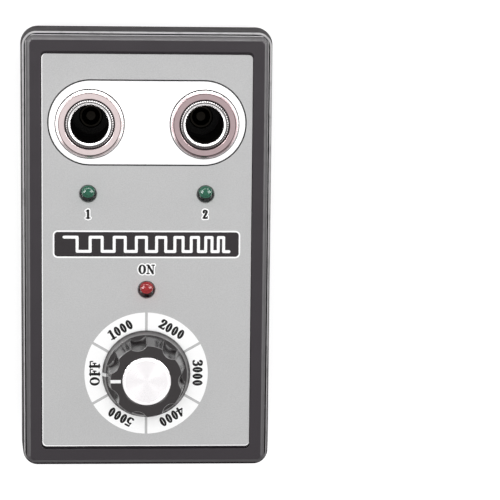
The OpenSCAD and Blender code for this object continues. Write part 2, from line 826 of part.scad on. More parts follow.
spring_gap = (spring_l - wire_d - 2 * fit) / spring_turns - wire_d;
echo(spring_gap = spring_gap);

// Contact spring between the terminal and the plunger's flange
module hv_spring(side) {
    color("#b9bcc0") at_socket(side) polyhedron(spring_points, spring_faces);
}

// Sprung contact with a cupped head
module hv_plunger(side) {
    r = plunger_d / 2;
    top = bore_z - plunger_sink;
    cup_r = r - cup_rim;
    color("#d4b872") at_socket(side) rotate_extrude() polygon([
        [0, flange_z], [flange_d / 2, flange_z], [flange_d / 2, flange_z + flange_t],
        [r, flange_z + flange_t], [r, top - plunger_edge], [r - plunger_edge, top],
        [cup_r, top], [cup_r / 2, top - cup_depth], [0, top - cup_depth]
    ]);
}

// Five-millimetre lamp with a domed lens
module led(place, tint) {
    color(tint) translate(place) {
        rod(led_d, led_z, led_top - led_d / 2);
        rod(led_flange_d, led_z, led_z + led_flange_t);
        translate([0, 0, led_top - led_d / 2]) sphere(d = led_d);
    }
}

// Two pins from each lamp to the board
module led_leads() {
    color("#c8c8c8") for (p = lamp_places, s = [-1, 1])
        translate([p[0] + (s * led_pitch - pin_d) / 2, p[1] - pin_d / 2, board_top])
            cube([pin_d, pin_d, led_z - board_top]);
}

// Tubes that hold the lamps against the cover
module led_spacers() {
    color("#e8e6e0") for (p = lamp_places) translate(p)
        ring((led_pitch + pin_d) / 2 + led_spacer_gap, led_flange_d / 2, board_top, led_z);
}

// Board that carries the electronics under the cover
module control_board() {
    color("#2f6b46") difference() {
        translate([0, board_mid, 0]) slab(board_w, board_l, board_r, board_z, board_top);
        at_posts() rod(board_screw_d + 2 * clear, board_z - 1, board_top + 1);
    }
}

// Four screws up through the board into the cover's posts
module board_screws() {
    color("#9a9ca0") at_posts() {
        rod(board_screw_d, board_z - join, board_top + board_grip);
        rod(board_screw_d * 2, board_z - board_head_h, board_z);
    }
}

// Can of the speed control, hollow for its rotor
module pot_can() {
    color("#b4b6b8") translate([0, knob_y, 0]) difference() {
        rod(can_d, can_z, plate_z);
        rod(can_d - 2 * can_wall, can_z + can_wall, plate_z - can_wall);
        rod(bush_d - 2 * bush_lap, plate_z - can_wall - join, plate_z + join);
    }
}

// Threaded bush through the cover
module pot_bush() {
    color("#c9c7c2") translate([0, knob_y, 0])
        ring(shaft_d / 2 + fit, bush_d / 2, plate_z, label_z + bush_up);
}

// Washer on the label
module pot_washer() {
    color("#c9c7c2") translate([0, knob_y, 0])
        ring(bush_d / 2 + fit, washer_d / 2, label_z, label_z + washer_t);
}

// Nut that clamps the speed control
module pot_nut() {
    color("#c9c7c2") translate([0, knob_y, 0])
        hex_nut(nut_af, bush_d + 2 * fit, label_z + washer_t, label_z + washer_t + nut_t);
}

// Three tags from the can to the board
module pot_terminals() {
    tag_z = can_z + can_wall;
    color("#c8c8c8") for (i = [-1 : 1]) {
        inner = max(0, abs(i) * tag_pitch - tag_w / 2);
        start = sqrt(pow(can_d / 2, 2) - pow(inner, 2)) + fit;
        translate([i * tag_pitch - tag_w / 2, knob_y + start, 0]) {
            translate([0, 0, tag_z]) cube([tag_w, tag_l, tag_t]);
            translate([0, tag_l - tag_t, board_top]) cube([tag_w, tag_t, tag_z - board_top + tag_t]);
        }
    }
}

// Control shaft with its rotor, turned by the knob
module pot_shaft() {
    color("#c4c4c6") translate([0, knob_y, 0]) difference() {
        union() {
            rod(shaft_d, rotor_z, insert_top - clear);
            rod(can_d - 2 * can_wall - 2 * clear, rotor_z, rotor_z + rotor_t);
        }
        translate([shaft_d / 2 - shaft_flat, -shaft_d, insert_z + clear])
            cube([shaft_flat + join, 2 * shaft_d, knob_h]);
    }
}

// Eight-legged timer
module timer_chip() {
    color("#222222") translate([-part_x, part_y, board_top]) {
        translate([-chip_l / 2, -chip_w / 2, chip_lift]) cube([chip_l, chip_w, chip_h]);
        for (i = [-1.5 : 1.5], s = [-1, 1])
            translate([i * chip_pitch - chip_leg / 2, s * (chip_w + chip_leg) / 2 - chip_leg, 0])
                cube([chip_leg, 2 * chip_leg, chip_lift + chip_h / 2]);
    }
}

// Smoothing capacitor under the board
module capacitor() {
    crimp = capacitor_d / 20;
    groove_z = board_z - capacitor_l / 6;
    color("#27304d") translate([-power_x, power_y0, 0]) difference() {
        rod(capacitor_d, board_z - capacitor_l, board_z);
        ring(capacitor_d / 2 - crimp, capacitor_d, groove_z - crimp, groove_z + crimp);
    }
}

// Power transistor under the board
module mosfet() {
    color("#242424") translate([power_x, fet_back, board_z - fet_leg_l]) {
        translate([-fet_w / 2, 0, -fet_h]) cube([fet_w, fet_t, fet_h]);
        translate([-fet_w / 2, 0, -fet_h - fet_tab_l]) cube([fet_w, fet_tab_t, fet_tab_l + join]);
        for (i = [-1 : 1]) translate([i * chip_pitch - pin_d / 2, fet_t / 2 - pin_d / 2, -join])
            cube([pin_d, pin_d, fet_leg_l + join]);
    }
}

// Finned plate behind the transistor
module heat_sink() {
    fin_pitch = (sink_w - sink_t) / (fins - 1);
    color("#a9acb0") translate([power_x - sink_w / 2, fet_back - sink_t, board_z - sink_h]) {
        cube([sink_w, sink_t, sink_h]);
        for (i = [0 : fins - 1]) translate([i * fin_pitch, -fin_l, 0])
            cube([sink_t, fin_l + join, sink_h - sink_t]);
    }
}

// Axial resistors on the board
module resistors() {
    color("#d6c29a") for (i = [-1.5 : 1.5])
        translate([part_x, part_y + i * resistor_pitch, board_top + resistor_d / 2 + chip_lift]) {
            translate([-resistor_l / 2, 0, 0]) rotate([0, 90, 0]) cylinder(d = resistor_d, h = resistor_l);
            translate([-resistor_span / 2, 0, 0]) rotate([0, 90, 0])
                cylinder(d = pin_d, h = resistor_span, $fn = 24);
            for (s = [-1, 1]) translate([s * resistor_span / 2, 0, -resistor_d / 2 - chip_lift])
                cylinder(d = pin_d, h = resistor_d / 2 + chip_lift, $fn = 24);
        }
}

// Closed laminated core on its posts
module coil_core() {
    color("#55565a") difference() {
        translate([-core_w / 2, core_y - core_l / 2, core_z]) cube([core_w, core_l, core_t]);
        translate([-core_w / 2 + core_leg, core_y - core_l / 2 + core_leg, core_z - 1])
            cube([core_w - 2 * core_leg, core_l - 2 * core_leg, core_t + 2]);
        for (x = [-1, 1]) translate([x * core_post_x, core_post_y, 0])
            rod(board_screw_d + 2 * clear, core_z - 1, core_z + core_t + 1);
    }
}

// Moulded winding round one leg of the core, with two high-voltage towers
module coil_winding() {
    color("#2a2a2c") difference() {
        union() {
            translate([0, leg_y, 0]) slab(coil_w, coil_l, coil_r, floor_t, coil_top);
            for (s = [-1, 1]) translate([s * hv_tower_x, coil_end - join, tower_z]) rotate([-90, 0, 0])
                cylinder(d = hv_lead_d + 2 * hv_tower_wall, h = hv_tower_l + join);
        }
        translate([-coil_w, leg_y - core_leg / 2 - fit, core_z - fit])
            cube([2 * coil_w, core_leg + 2 * fit, core_t + 2 * fit]);
    }
}

// Two screws that hold the core on its posts
module coil_screws() {
    color("#9a9ca0") for (x = [-1, 1]) translate([x * core_post_x, core_post_y, 0]) {
        rod(board_screw_d, floor_t + clear, core_z + core_t + join);
        rod(board_screw_d * 2, core_z + core_t, core_z + core_t + board_head_h);
    }
}

// Threaded supply inlet, flanged behind its pad
module dc_jack_body() {
    color("#1f1e20") at_jack() difference() {
        union() {
            rod(jack_d, jack_face + clear, jack_back);
            rod(jack_nut_d, jack_pad, jack_pad + jack_flange_t);
            rod(jack_d + 2 * jack_rear_wall, jack_pad + jack_flange_t - join, jack_back);
        }
        rod(jack_bore_d, jack_face - 1, jack_floor);
        rod(jack_root_d + 2 * fit, jack_floor - 1, jack_back + 1);
    }
}

// Ring nut sunk in the end wall
module dc_jack_nut() {
    color("#c9c7c2") at_jack() ring(jack_d / 2 + fit, jack_nut_d / 2, jack_seat - jack_nut_t, jack_seat);
}

// Centre pin of the inlet
module dc_jack_pin() {
    color("#d8d4d2") at_jack() {
        rod(jack_pin_d, jack_tip, jack_floor);
        rod(jack_root_d, jack_floor - join, jack_back);
        translate([0, 0, jack_tip]) sphere(d = jack_pin_d, $fn = 32);
    }
}

// Two solder tags behind the inlet
module dc_jack_lugs() {
    color("#c9a95b") for (s = [-1, 1])
        translate([s * jack_lug_x - jack_lug_w / 2, jack_back, jack_z - jack_lug_w / 4])
            cube([jack_lug_w, jack_lug_l, jack_lug_w / 2]);
}

// High-voltage lead from the coil's tower to a terminal's tail
module hv_lead(side) {
    start = coil_end + hv_tower_l;
    finish = socket_y - tail_end;
    z = terminal_z + terminal_t / 2;
    color("#7a2327") lead([
        [side * hv_tower_x, start, tower_z], [side * hv_tower_x, start + hv_lead_d, tower_z],
        [side * socket_x, finish - hv_lead_d, z], [side * socket_x, finish, z]
    ], hv_lead_d);
}

// Two leads from the inlet's tags to the board
module supply_leads() {
    start = jack_back + jack_lug_l;
    turn = start + 2 * lead_d;
    color("#7d2b2b") for (x = [-jack_lug_x, jack_lug_x])
        lead([[x, start, jack_z], [x, turn, jack_z], [x, turn, board_z]], lead_d);
}

// Lead from the earth strip to the board
module earth_lead() {
    top_y = socket_y - back_nut_af / 2 + lead_d;
    foot_y = board_y1 - 2 * lead_d;
    color("#2d2d30") lead([
        [0, top_y, link_z], [0, top_y, link_z - 2 * lead_d],
        [0, foot_y, board_top + 2 * lead_d], [0, foot_y, board_top]
    ], lead_d);
}

// Fluted black knob: a grip with scooped sides that stands on a skirt
module knob_body() {
    h = knob_top - knob_z;
    pocket = pocket_d / 2;
    hole = insert_d / 2 + fit;
    color("#2b282a") translate([0, knob_y, knob_z]) difference() {
        union() {
            rotate_extrude() polygon([
                [knob_room_d / 2, 0], [skirt_d / 2, 0], [skirt_d / 2, skirt_edge],
                [skirt_top_d / 2, skirt_h], [knob_room_d / 2, skirt_h]
            ]);
            difference() {
                rotate_extrude() polygon([
                    [0, insert_top - knob_z], [hole, insert_top - knob_z], [hole, knob_room],
                    [knob_room_d / 2, knob_room], [knob_room_d / 2, skirt_h], [grip_d / 2, skirt_h],
                    [grip_top_d / 2, h - grip_chamfer], [grip_top_d / 2 - grip_chamfer, h],
                    [pocket, h], [pocket, cap_z - knob_z], [0, cap_z - knob_z]
                ]);
                for (i = [0 : flutes - 1]) rotate(i * 360 / flutes)
                    translate([grip_d / 2 + flute_r - flute_depth, 0, skirt_h]) rotate([0, -grip_tilt, 0])
                        translate([0, 0, -skirt_h]) cylinder(r = flute_r, h = 2 * h);
            }
        }
        translate([0, 0, set_z - knob_z]) rotate([0, 90, 0]) cylinder(d = set_d + 2 * fit, h = grip_d);
        translate([-grip_d, -pointer_w / 2 - fit, h - pointer_t])
            cube([grip_d - pocket - pointer_gap, pointer_w + 2 * fit, pointer_t + join]);
    }
}

// Spun metal disc in the knob's top
module knob_cap() {
    color("#f2f1f0") translate([0, knob_y, 0]) difference() {
        rod(cap_d, cap_z, cap_z + cap_t);
        ring(cap_d / 2 - cap_step_w, cap_d, cap_z + cap_t - cap_step_h, cap_z + cap_t + join);
    }
}

// Brass insert that takes the control's shaft
module knob_insert() {
    color("#c9a95b") translate([0, knob_y, 0]) difference() {
        ring(shaft_d / 2 + press, insert_d / 2, insert_z, insert_top);
        translate([0, 0, set_z]) rotate([0, 90, 0]) cylinder(d = set_d + 2 * fit, h = insert_d);
    }
}

// Grub screw against the shaft's flat
module knob_set_screw() {
    tip = shaft_d / 2 - shaft_flat + fit;
    color("#8d8f92") translate([tip, knob_y, set_z]) rotate([0, 90, 0]) difference() {
        cylinder(d = set_d, h = set_l);
        translate([0, 0, set_l - set_socket]) cylinder(d = set_d / 2, h = set_socket + join, $fn = 6);
    }
}

// White line let into the knob's top
module knob_pointer() {
    start = pocket_d / 2 + pointer_gap;
    finish = grip_top_d / 2 - grip_chamfer;
    color("white") translate([-finish, knob_y - pointer_w / 2, knob_top - pointer_t])
        cube([finish - start, pointer_w, pointer_t]);
}

base_shell();
front_cover();
cover_screws();
front_label();
socket_tube(-1);  // socket_tube_left
socket_tube(1);  // socket_tube_right
socket_nut(-1);  // socket_nut_left
socket_nut(1);  // socket_nut_right
socket_back_nut(-1);  // socket_back_nut_left
socket_back_nut(1);  // socket_back_nut_right
earth_link();
socket_sleeve(-1);  // socket_sleeve_left
socket_sleeve(1);  // socket_sleeve_right
hv_terminal(-1);  // hv_terminal_left
hv_terminal(1);  // hv_terminal_right
hv_spring(-1);  // hv_spring_left
hv_spring(1);  // hv_spring_right
hv_plunger(-1);  // hv_plunger_left
hv_plunger(1);  // hv_plunger_right
led(lamp_places[0], "#a22d30");  // led_power
led(lamp_places[1], "#307157");  // led_signal_left
led(lamp_places[2], "#307157");  // led_signal_right
led_leads();
led_spacers();
control_board();
board_screws();
pot_can();
pot_bush();
pot_washer();
pot_nut();
pot_terminals();
pot_shaft();
timer_chip();
capacitor();
mosfet();
heat_sink();
resistors();
coil_core();
coil_winding();
coil_screws();
dc_jack_body();
dc_jack_nut();
dc_jack_pin();
dc_jack_lugs();
hv_lead(-1);  // hv_lead_left
hv_lead(1);  // hv_lead_right
supply_leads();
earth_lead();
knob_body();
knob_cap();
knob_insert();
knob_set_screw();
knob_pointer();
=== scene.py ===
"""Visual model of a spark plug tester: case, printed panel, sockets, lamps, speed knob and inlet.

Lengths in the classes are in millimetres in the part's own frame; meshes are written in metres.
"""
import logging
from dataclasses import dataclass, field
from enum import Enum

import bpy
import numpy as np
from mathutils import Matrix, Vector


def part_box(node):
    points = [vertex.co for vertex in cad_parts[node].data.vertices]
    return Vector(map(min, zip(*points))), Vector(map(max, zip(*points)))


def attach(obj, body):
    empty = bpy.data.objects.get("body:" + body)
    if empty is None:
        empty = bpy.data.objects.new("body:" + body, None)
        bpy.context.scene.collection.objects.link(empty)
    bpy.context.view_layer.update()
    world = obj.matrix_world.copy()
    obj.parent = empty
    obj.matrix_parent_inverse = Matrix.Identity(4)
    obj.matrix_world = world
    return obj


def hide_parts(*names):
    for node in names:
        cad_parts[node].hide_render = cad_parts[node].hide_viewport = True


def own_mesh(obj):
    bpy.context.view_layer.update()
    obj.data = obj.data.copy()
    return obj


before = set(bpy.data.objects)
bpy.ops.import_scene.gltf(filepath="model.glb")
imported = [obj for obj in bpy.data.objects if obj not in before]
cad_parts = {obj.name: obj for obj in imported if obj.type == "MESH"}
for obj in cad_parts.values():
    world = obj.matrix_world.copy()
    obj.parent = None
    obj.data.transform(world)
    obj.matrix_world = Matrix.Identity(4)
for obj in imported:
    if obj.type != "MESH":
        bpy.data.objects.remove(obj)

LOG = logging.getLogger("tester")
MM = 0.001
TURN = 2.0 * np.pi
CREASE = 32.0  # degrees between two faces, above which their edge stays sharp
PAST = 1.0  # mm by which a cutting tool runs past a surface
Array = np.ndarray
Pair = tuple[float, float]
Triple = tuple[float, float, float]
Tree, Node, Socket = bpy.types.NodeTree, bpy.types.Node, bpy.types.NodeSocket
Piece, Material = bpy.types.Object, bpy.types.Material


class Side(Enum):
    """The two plug sockets and signal lamps."""

    LEFT = "left"
    RIGHT = "right"


class Ground(Enum):
    """What a finish is made of, which decides how its shader is built."""

    PLASTIC = "plastic"
    METAL = "metal"
    INK = "ink"
    RESIN = "resin"


class Glow(Enum):
    """What a studio light acts on: matt surfaces only, or gloss only."""

    FILL = "fill"
    GLEAM = "gleam"


@dataclass(frozen=True)
class Finish:
    """One surface finish."""

    name: str  # material name
    ground: Ground  # what the surface is made of
    tone: Triple  # linear base colour
    shade: Triple  # linear colour that the texture mixes towards
    rough: float = 0.4  # roughness of the clean surface
    worn: float = 0.5  # roughness of handled places
    cell: float = 0.3  # size of the grain in mm
    depth: float = 0.004  # height of the grain or of the tool marks in mm
    pitch: float = 0.0  # spacing of the tool marks in mm, for turned metal
    axis: Pair = (0.0, 0.0)  # place of the turning axis in mm, for turned metal
    painted_light: Triple = (0.8, 0.79, 0.8)  # linear colour of painted highlights on edges
    deep: Triple = (0.012, 0.011, 0.012)  # linear colour of painted shade in sunk places
    sheen: float = 0.5  # strength of the plain reflection, 0.5 for ordinary plastic
    drawn: float = 0.0  # how far a spun surface draws its reflections out across the turn


@dataclass
class Patch:
    """Points in mm and the faces between them."""

    points: Array
    faces: list[list[int]]

    @staticmethod
    def grid(points: Array, wrap: bool = True, close: bool = False) -> "Patch":
        """Join a grid of rows and columns with quads.

        Args:
            points: array of rows, columns and x, y, z.
            wrap: joins the last column to the first.
            close: joins the last row to the first.

        Returns:
            The patch, facing outwards when rows rise on the outside of columns that run anticlockwise.
        """
        rows, cols = points.shape[:2]
        i = np.arange(rows if close else rows - 1)[:, None]
        j = np.arange(cols if wrap else cols - 1)[None, :]
        up, on = (i + 1) % rows, (j + 1) % cols
        quads = np.stack([i * cols + j, i * cols + on, up * cols + on, up * cols + j], axis=-1)
        return Patch(points.reshape(-1, 3), quads.reshape(-1, 4).tolist())

    def capped(self, cols: int) -> "Patch":
        """Close the first and the last ring of a wrapped grid with one face each."""
        last = len(self.points) - cols
        return Patch(self.points, self.faces + [list(range(cols))[::-1], list(range(last, last + cols))])

    def moved(self, x: float = 0.0, y: float = 0.0, z: float = 0.0) -> "Patch":
        """Return the patch shifted by x, y and z."""
        return Patch(self.points + np.array([x, y, z]), self.faces)

    def turned(self, matrix: Matrix) -> "Patch":
        """Return the patch turned by a rotation matrix."""
        return Patch(self.points @ np.array(matrix.to_3x3()).T, self.faces)

    @staticmethod
    def merged(parts: list["Patch"]) -> "Patch":
        """Set patches side by side.

        Args:
            parts: the patches.

        Returns:
            One patch that holds them all.
        """
        starts = np.cumsum([0] + [len(part.points) for part in parts]).tolist()
        faces = [[start + k for k in face] for start, part in zip(starts, parts) for face in part.faces]
        return Patch(np.concatenate([part.points for part in parts]), faces)


class Form:
    """Formulas for profiles, paths and surfaces."""

    @staticmethod
    def fillet(corners: list[Triple], steps: int = 6) -> Array:
        """Round the inner corners of an open profile.

        Each corner becomes an arc that touches both of its sides at radius / tan(half angle) from it.

        Args:
            corners: points (a, b, radius); radius 0 keeps a sharp corner.
            steps: points on each arc.

        Returns:
            Array of (a, b) points.
        """
        pts = np.array([c[:2] for c in corners], dtype=float)
        out = [pts[:1]]
        for k in range(1, len(corners) - 1):
            radius = corners[k][2]
            if radius <= 0:
                out.append(pts[k:k + 1])
                continue
            u, v = pts[k - 1] - pts[k], pts[k + 1] - pts[k]
            u, v = u / np.linalg.norm(u), v / np.linalg.norm(v)
            half = np.arccos(np.clip(u @ v, -1, 1)) / 2
            mid = (u + v) / np.linalg.norm(u + v)
            centre = pts[k] + mid * radius / np.sin(half)
            sweep = np.linspace(-1, 1, steps) * (np.pi / 2 - half)
            side = np.sign(mid[1] * v[0] - mid[0] * v[1])
            cos, sin = np.cos(sweep), np.sin(sweep) * side
            spoke = np.stack([-mid[0] * cos + mid[1] * sin, -mid[1] * cos - mid[0] * sin], axis=-1)
            out.append(centre + radius * spoke)
        out.append(pts[-1:])
        return np.concatenate(out)

    @staticmethod
    def ring(width: Array | float, length: Array | float, radius: Array | float, steps: int = 12) -> Array:
        """Trace rounded rectangles anticlockwise, one row for each size given.

        A point is the centre of its corner's arc plus radius times (cos, sin) of the angle.

        Args:
            width: sizes along X.
            length: sizes along Y.
            radius: corner radii.
            steps: points on each corner.

        Returns:
            Array of rows, points and x, y.
        """
        size = [np.atleast_1d(np.asarray(v, dtype=float))[:, None] for v in (width, length, radius)]
        corner = np.repeat(np.arange(4), steps)[None, :]
        angle = (corner + np.tile(np.linspace(0, 1, steps), 4)[None, :]) * np.pi / 2
        sx = np.where((corner == 0) | (corner == 3), 1.0, -1.0)
        sy = np.where(corner < 2, 1.0, -1.0)
        x = sx * (size[0] / 2 - size[2]) + size[2] * np.cos(angle)
        y = sy * (size[1] / 2 - size[2]) + size[2] * np.sin(angle)
        return np.stack([x, y], axis=-1)

    @staticmethod
    def loft(profile: Array, width: float, length: float, radius: float, steps: int = 12,
             least: float = 0.3) -> Patch:
        """Sweep a profile of (inset, z) round a rounded rectangle and cap both ends.

        Each row is the rectangle drawn in by the inset, with its corner radius shortened by it.

        Args:
            profile: rows of inset and height, from the underside round the outside to the top.
            width: size along X at inset 0.
            length: size along Y at inset 0.
            radius: corner radius at inset 0.
            steps: points on each corner.
            least: smallest corner radius.

        Returns:
            The closed patch.
        """
        inset = profile[:, 0]
        flat = Form.ring(width - 2 * inset, length - 2 * inset, np.maximum(radius - inset, least), steps)
        high = np.broadcast_to(profile[:, 1][:, None, None], flat.shape[:2] + (1,))
        return Patch.grid(np.concatenate([flat, high], axis=-1)).capped(4 * steps)

    @staticmethod
    def lathe(profile: Array, count: int = 96) -> Patch:
        """Turn a profile of (radius, z) round the Z axis.

        Points are (r cos t, r sin t, z). A profile that starts and ends on the axis gets a pole at each
        end; any other profile is a closed outline and its last row joins its first.

        Args:
            profile: rows of radius and height, anticlockwise with the radius to the right.
            count: points round the axis.

        Returns:
            The closed patch.
        """
        angle = np.arange(count) * TURN / count
        poled = profile[0, 0] < 1e-6 and profile[-1, 0] < 1e-6
        rows = profile[1:-1] if poled else profile
        r, z = rows[:, :1], rows[:, 1:]
        points = np.stack([r * np.cos(angle), r * np.sin(angle), z + 0 * angle], axis=-1)
        body = Patch.grid(points, close=not poled)
        return Form.poled(body, count, profile[0, 1], profile[-1, 1]) if poled else body

    @staticmethod
    def poled(body: Patch, count: int, low: float, high: float) -> Patch:
        """Close the first and the last ring of a body with fans to poles on the Z axis.

        Args:
            body: rings about the axis.
            count: points on a ring.
            low: height of the first ring's pole.
            high: height of the last ring's pole.

        Returns:
            The closed patch.
        """
        size = len(body.points)
        j = np.arange(count)
        on = (j + 1) % count
        under = np.stack([on, j, np.full(count, size)], axis=-1).tolist()
        last = size - count
        over = np.stack([last + j, last + on, np.full(count, size + 1)], axis=-1).tolist()
        poles = np.array([[0, 0, low], [0, 0, high]])
        return Patch(np.concatenate([body.points, poles]), body.faces + under + over)

    @staticmethod
    def rod(diameter: float, low: float, high: float, count: int = 48) -> Patch:
        """Return a plain closed cylinder on the Z axis."""
        r = diameter / 2
        return Form.lathe(np.array([[0, low], [r, low], [r, high], [0, high]]), count)

    @staticmethod
    def sheet(outline: Array, z: float) -> Patch:
        """Return one flat face inside an anticlockwise outline."""
        points = np.concatenate([outline, np.full((len(outline), 1), z)], axis=1)
        return Patch(points, [list(range(len(outline)))])

    @staticmethod
    def band(outer: Array, inner: Array, z: float) -> Patch:
        """Return the flat band between two outlines that have as many points each."""
        rows = np.stack([outer, inner])
        return Patch.grid(np.concatenate([rows, np.full(rows.shape[:2] + (1,), z)], axis=-1))

    @staticmethod
    def soft_min(a: Array, b: Array, blend: float) -> Array:
        """Return the smaller of two values, with the corner between them blended over a length."""
        h = np.clip(0.5 + 0.5 * (b - a) / blend, 0, 1)
        return b * (1 - h) + a * h - blend * h * (1 - h)

    @staticmethod
    def ramp(value: Array, start: float, run: float) -> Array:
        """Return 0 up to a start, 1 past a run behind it and an even rise between."""
        return np.clip((value - start) / run, 0.0, 1.0)

    @staticmethod
    def circle(radius: float, count: int) -> Array:
        """Return points on a circle about the origin."""
        turn = np.arange(count) * TURN / count
        return radius * np.stack([np.cos(turn), np.sin(turn)], axis=-1)


class Pen:
    """Draws print as flat shapes: strokes with a width, joined through their distance field."""

    GLYPHS = "012345OFN"
    ADVANCE = (0.56, 0.54, 0.56, 0.56, 0.58, 0.56, 0.86, 0.70, 0.88)  # their widths in cap heights
    STRESS = 1.6  # how quickly a stroke thins as it turns level
    CURVE_STEPS = 9  # points between two places of a curve
    OVAL_STEPS = 49  # points on an oval

    def __init__(self, thick: float = 0.122, thin: float = 0.052) -> None:
        """Draw every glyph.

        Args:
            thick: half width of upright strokes, as a share of the cap height.
            thin: half width of level strokes, as a share of the cap height.
        """
        self.thick, self.thin = thick, thin
        self.strokes = {glyph: self._draw(glyph) for glyph in self.GLYPHS}
        self.advance = dict(zip(self.GLYPHS, self.ADVANCE))

    def _curve(self, *points: Pair) -> Array:
        """Run a smooth curve through points, thick where it runs upright and thin where it runs level.

        Between two points the curve is the cubic through them whose slope at each is half the step between
        that point's neighbours.

        Args:
            points: places that the curve runs through.

        Returns:
            Array of x, y and half width.
        """
        p = np.array(points)
        p = np.concatenate([2 * p[:1] - p[1:2], p, 2 * p[-1:] - p[-2:-1]])
        t = np.linspace(0, 1, self.CURVE_STEPS)[None, :, None]
        a, b, c, d = (p[k:len(p) - 3 + k, None, :] for k in range(4))
        bend, twist = 2 * a - 5 * b + 4 * c - d, 3 * b - a - 3 * c + d
        run = 0.5 * (2 * b + (c - a) * t + bend * t**2 + twist * t**3)
        run = run.reshape(-1, 2)
        way = np.gradient(run, axis=0)
        steep = np.abs(way[:, 1]) / (np.linalg.norm(way, axis=1) + 1e-9)
        return np.column_stack([run, self.thin + (self.thick - self.thin) * steep**self.STRESS])

    def _oval(self, x: float, width: float) -> Array:
        """Run an upright oval of the cap height, thick at its sides: (a cos t, b sin t) about its middle.

        Args:
            x: place of its middle.
            width: its outer width.

        Returns:
            Array of x, y and half width.
        """
        t = np.linspace(0, TURN, self.OVAL_STEPS)
        half = self.thin + (self.thick - self.thin) * np.abs(np.cos(t)) ** self.STRESS
        across, up = (width / 2 - self.thick) * np.cos(t), (0.5 - self.thin) * np.sin(t)
        return np.column_stack([x + across, 0.5 + up, half])

    def _bar(self, x0: float, y0: float, x1: float, y1: float, half: float | None = None) -> Array:
        """Return a straight stroke; its half width is thin unless it's given."""
        half = self.thin if half is None else half
        return np.array([[x0, y0, half], [x1, y1, half]])

    def _draw(self, glyph: str) -> list[Array]:
        """List the strokes of one glyph, with the base line at 0 and the caps at 1.

        Args:
            glyph: digit or capital to draw.

        Returns:
            One array of x, y and half width for each stroke.
        """
        lo, hi, fat = self.thin, 1 - self.thin, self.thick
        bar, curve = self._bar, self._curve
        match glyph:
            case "0":
                return [self._oval(0.26, 0.50)]
            case "O":
                return [self._oval(0.41, 0.78)]
            case "1":
                return [bar(0.27, lo, 0.27, 0.88, fat), bar(0.06, 0.82, 0.24, 0.93, 0.05),
                        bar(0.06, lo, 0.48, lo)]
            case "2":
                return [curve((0.10, 0.72), (0.12, 0.88), (0.25, 0.955), (0.39, 0.86), (0.39, 0.68),
                              (0.27, 0.42), (0.07, 0.10)),
                        bar(0.08, 0.09, 0.46, 0.09, 0.085), bar(0.47, 0.12, 0.49, 0.24)]
            case "3":
                return [curve((0.09, 0.78), (0.15, 0.92), (0.26, 0.955), (0.38, 0.84), (0.36, 0.66),
                              (0.20, 0.54)),
                        curve((0.20, 0.54), (0.38, 0.46), (0.42, 0.27), (0.33, 0.09), (0.18, 0.045),
                              (0.07, 0.13))]
            case "4":
                return [bar(0.38, lo, 0.38, hi - 0.05, 0.1), bar(0.35, 0.93, 0.05, 0.30, 0.04),
                        bar(0.05, 0.28, 0.53, 0.28, 0.07)]
            case "5":
                return [bar(0.14, 0.90, 0.45, 0.90, 0.08), bar(0.12, 0.90, 0.09, 0.56, 0.04),
                        curve((0.09, 0.56), (0.24, 0.62), (0.39, 0.50), (0.41, 0.28), (0.31, 0.08),
                              (0.17, 0.045), (0.06, 0.12))]
            case "F":
                return [bar(0.19, lo, 0.19, hi, fat), bar(0.05, hi, 0.60, hi), bar(0.61, hi, 0.63, 0.72),
                        bar(0.19, 0.52, 0.45, 0.52), bar(0.46, 0.66, 0.46, 0.38), bar(0.05, lo, 0.36, lo)]
            case _:
                return [bar(0.16, lo, 0.16, hi, 0.04), bar(0.19, 0.90, 0.67, 0.08, 0.105),
                        bar(0.69, lo, 0.69, hi, 0.04), bar(0.03, hi, 0.22, hi), bar(0.03, lo, 0.29, lo),
                        bar(0.56, hi, 0.82, hi)]

    def line(self, text: str, height: float, squeeze: float = 1.0) -> Array:
        """Set a line of text centred on the origin.

        Args:
            text: glyphs to set.
            height: cap height in mm.
            squeeze: width as a share of the drawn width.

        Returns:
            Stroke segments as rows of x0, y0, half0, x1, y1, half1 in mm.
        """
        steps = np.array([self.advance[g] for g in text])
        starts = np.concatenate([[0], np.cumsum(steps)[:-1]]) - steps.sum() / 2
        parts = [np.hstack([s[:-1] + [[x, 0, 0]], s[1:] + [[x, 0, 0]]]) for g, x in zip(text, starts)
                 for s in self.strokes[g]]
        scale = np.array([squeeze, 1, 1, squeeze, 1, 1]) * height
        return np.concatenate(parts) * scale - np.array([0, height / 2, 0, 0, height / 2, 0])

    @staticmethod
    def trail(points: Array, half: float) -> Array:
        """Return the segments of a line of even width through points."""
        run = np.column_stack([points, np.full(len(points), half)])
        return np.hstack([run[:-1], run[1:]])

    @staticmethod
    def fill(segments: Array, z: float, grow: float = 0.0, cell: float = 0.07) -> Patch:
        """Turn strokes into one flat shape.

        The distance of a grid point from the strokes is the least of its distances from the segments, less
        their half widths. Cells whose middle lies inside are kept, and the points on their border are moved
        down the distance's slope on to the outline.

        Args:
            segments: rows of x0, y0, half0, x1, y1, half1.
            z: height of the shape.
            grow: how far the outline lies outside the strokes.
            cell: size of the grid.

        Returns:
            The flat patch, facing up.
        """
        def field_at(p: Array) -> Array:
            """Work out the distance of points from the outline.

            Args:
                p: rows of x and y.

            Returns:
                Distances, below 0 inside.
            """
            a, b = segments[:, 0:2], segments[:, 3:5]
            way = b - a
            t = np.clip(((p[:, None, :] - a) * way).sum(-1) / np.maximum((way**2).sum(-1), 1e-12), 0, 1)
            near = np.linalg.norm(p[:, None, :] - a - t[..., None] * way, axis=-1)
            return (near - segments[:, 2] - t * (segments[:, 5] - segments[:, 2])).min(axis=1) - grow

